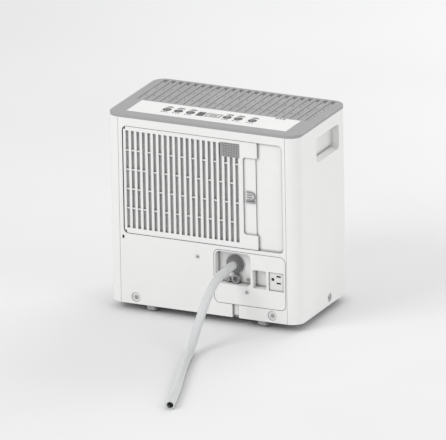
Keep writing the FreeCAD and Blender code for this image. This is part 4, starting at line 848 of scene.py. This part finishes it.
def make_strip_marks(ink, lamp_ink):
    """Printed on the strip: bars and dots by each button, a row of bars, and a dark lamp field."""
    strip_low, strip_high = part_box("control_panel")
    low = strip_high.z - INK_UNDER
    high = strip_high.z + INK_OVER
    dot_step, dot_drop, dot_radius = 5 * MM, 3.5 * MM, 1.8 * MM
    bar_wide = 2.4 * MM
    shape = bmesh.new()
    for name in BUTTONS:
        button_low, button_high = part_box(name + "_button")
        x = (button_low.x + button_high.x) / 2
        for offset in (-dot_step, 0, dot_step):
            add_dot(shape, x + offset, button_low.y - dot_drop, dot_radius, low, high)
        for rise, half in ((3.5 * MM, 7.5 * MM), (7.5 * MM, 5 * MM)):
            y = button_high.y + rise
            add_bar(shape, (x - half, y), (x + half, y), bar_wide, low, high)
    dash_long, dash_wide = 5 * MM, 4 * MM
    y = strip_high.y - dash_wide
    for x in (110 * MM, 117 * MM, 124 * MM):
        add_bar(shape, (x, y), (x + dash_long, y), dash_wide, low, high)
    middle = (strip_low.y + strip_high.y) / 2
    field_x, field_wide, field_half = -25 * MM, 14 * MM, 11 * MM
    add_bar(shape, (field_x, middle - field_half), (field_x, middle + field_half), field_wide, low, high)
    finished("strip_marks", shape, ink, "root")

    shape = bmesh.new()
    lamp_radius, lamp_line = 1.1 * MM, 1.1 * MM
    low, high = high - INK_UNDER, high + INK_UNDER
    for y in (middle + rise * MM for rise in (-7.5, -2.5, 2.5, 7.5)):
        add_dot(shape, field_x - 3 * MM, y, lamp_radius, low, high)
        add_bar(shape, (field_x, y), (field_x + 4.5 * MM, y), lamp_line, low, high)
    finished("lamp_marks", shape, lamp_ink, "root")


# The ends of each segment of a digit, in cells, and the segments that a digit lights.
SEGMENTS = {"a": ((0, 2), (1, 2)), "b": ((1, 1), (1, 2)), "c": ((1, 0), (1, 1)),
            "d": ((0, 0), (1, 0)), "e": ((0, 0), (0, 1)), "f": ((0, 1), (0, 2)),
            "g": ((0, 1), (1, 1))}
DIGITS = {"5": "afgcd", "0": "abcdef"}


def make_digits(ink):
    """Two seven-segment digits in the display window."""
    low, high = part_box("display_window")
    cell = 3.8 * MM
    aside = 3.6 * MM
    short = 0.5 * MM
    stroke = 1.3 * MM
    shape = bmesh.new()
    for place, digit in ((-1, "5"), (1, "0")):
        corner = Vector((place * aside - cell / 2, -cell))
        for segment in DIGITS[digit]:
            first, second = (corner + Vector(end) * cell for end in SEGMENTS[segment])
            along = (second - first).normalized() * short
            add_bar(shape, first + along, second - along, stroke, -INK_UNDER, INK_OVER)
    facing_front(shape, (low + high) / 2, high.z)
    finished("display_digits", shape, ink, "root")


def make_display_line(ink):
    """The dark line printed round the display window."""
    low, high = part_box("display_window")
    shape = bmesh.new()
    gap = 1.0 * MM
    thin = 1.1 * MM
    left, right = low.x - gap, high.x + gap
    near, far = low.y - gap, high.y + gap
    for first, second in (((left, near), (right, near)), ((left, far), (right, far)),
                          ((left, near), (left, far)), ((right, near), (right, far))):
        add_bar(shape, first, second, thin, high.z - INK_UNDER, high.z + INK_OVER)
    finished("display_outline", shape, ink, "root")


def make_level_marks(ink):
    """Water level lines beside the bucket's window, every fourth one long."""
    low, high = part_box("bucket_window")
    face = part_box("bucket_front")[1].y
    start = high.x + 2 * MM
    half = 0.4 * MM
    shape = bmesh.new()
    for number in range(9):
        z = low.z + 6 * MM + number * 7 * MM
        long = 9 * MM if number in (0, 4, 8) else 5 * MM
        add_box(shape, (start, face - INK_UNDER, z - half), (start + long, face + INK_OVER, z + half))
    finished("level_marks", shape, ink, "bucket")


# ---------------------------------------------------------------- putting it together

def paint(materials, special):
    """Gives each CAD node the material of its slot, or its own where it has one."""
    for name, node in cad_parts.items():
        slot = node.data.materials[0].name.split(".")[0]
        chosen = special.get(name, materials[slot])
        for number in range(len(node.data.materials)):
            node.data.materials[number] = chosen


make_camera()
make_floor()
make_light()

vinyl = hose_vinyl()
make_hose(vinyl)

metal = fin_aluminium()
bare_copper = copper()
cloth_thread = filter_thread()
materials = {
    "white_plastic": white_plastic(),
    "grey_plastic": grey_plastic(),
    "dark_plastic": dark_plastic(),
    "hose_nut_grey": nut_plastic(),
    "soft_rubber": soft_rubber(),
    "clear_hose": vinyl,
    "filter_cloth": cloth_thread,
    "display_pale": pale_display(),
    "bucket_clear": clear_plastic(),
    "float_foam": float_foam(),
    "circuit_board": circuit_board(),
    "fin_aluminium": metal,
    "copper": bare_copper,
    "black_steel": black_paint(),
    "steel": zinc_steel(),
}
special = {"plug_holder": plug_plastic(), "sensor_screen": screen_plastic()}
key_plastic = button_plastic()
for button_name in BUTTONS:
    special[button_name + "_button"] = key_plastic
nylon = wheel_nylon()
for corner_name in ("front_left", "front_right", "rear_left", "rear_right"):
    special["castor_wheel_" + corner_name] = nylon
paint(materials, special)

make_filter_cloth(cloth_thread)
for coil_name, coil_node in COILS.items():
    make_coil(coil_name, coil_node, metal, bare_copper)
make_screws(materials["steel"])
make_latch(materials["white_plastic"], materials["grey_plastic"])
make_louvre_stops(materials["grey_plastic"])
make_outlet_guard(materials["grey_plastic"])
pale_ink = printed("pale_ink", (0.38, 0.38, 0.38))
dark_ink = printed("dark_ink", (0.05, 0.05, 0.052))
make_icons(pale_ink)
make_strip_marks(dark_ink, pale_ink)
make_digits(dark_ink)
make_display_line(dark_ink)
make_level_marks(dark_ink)
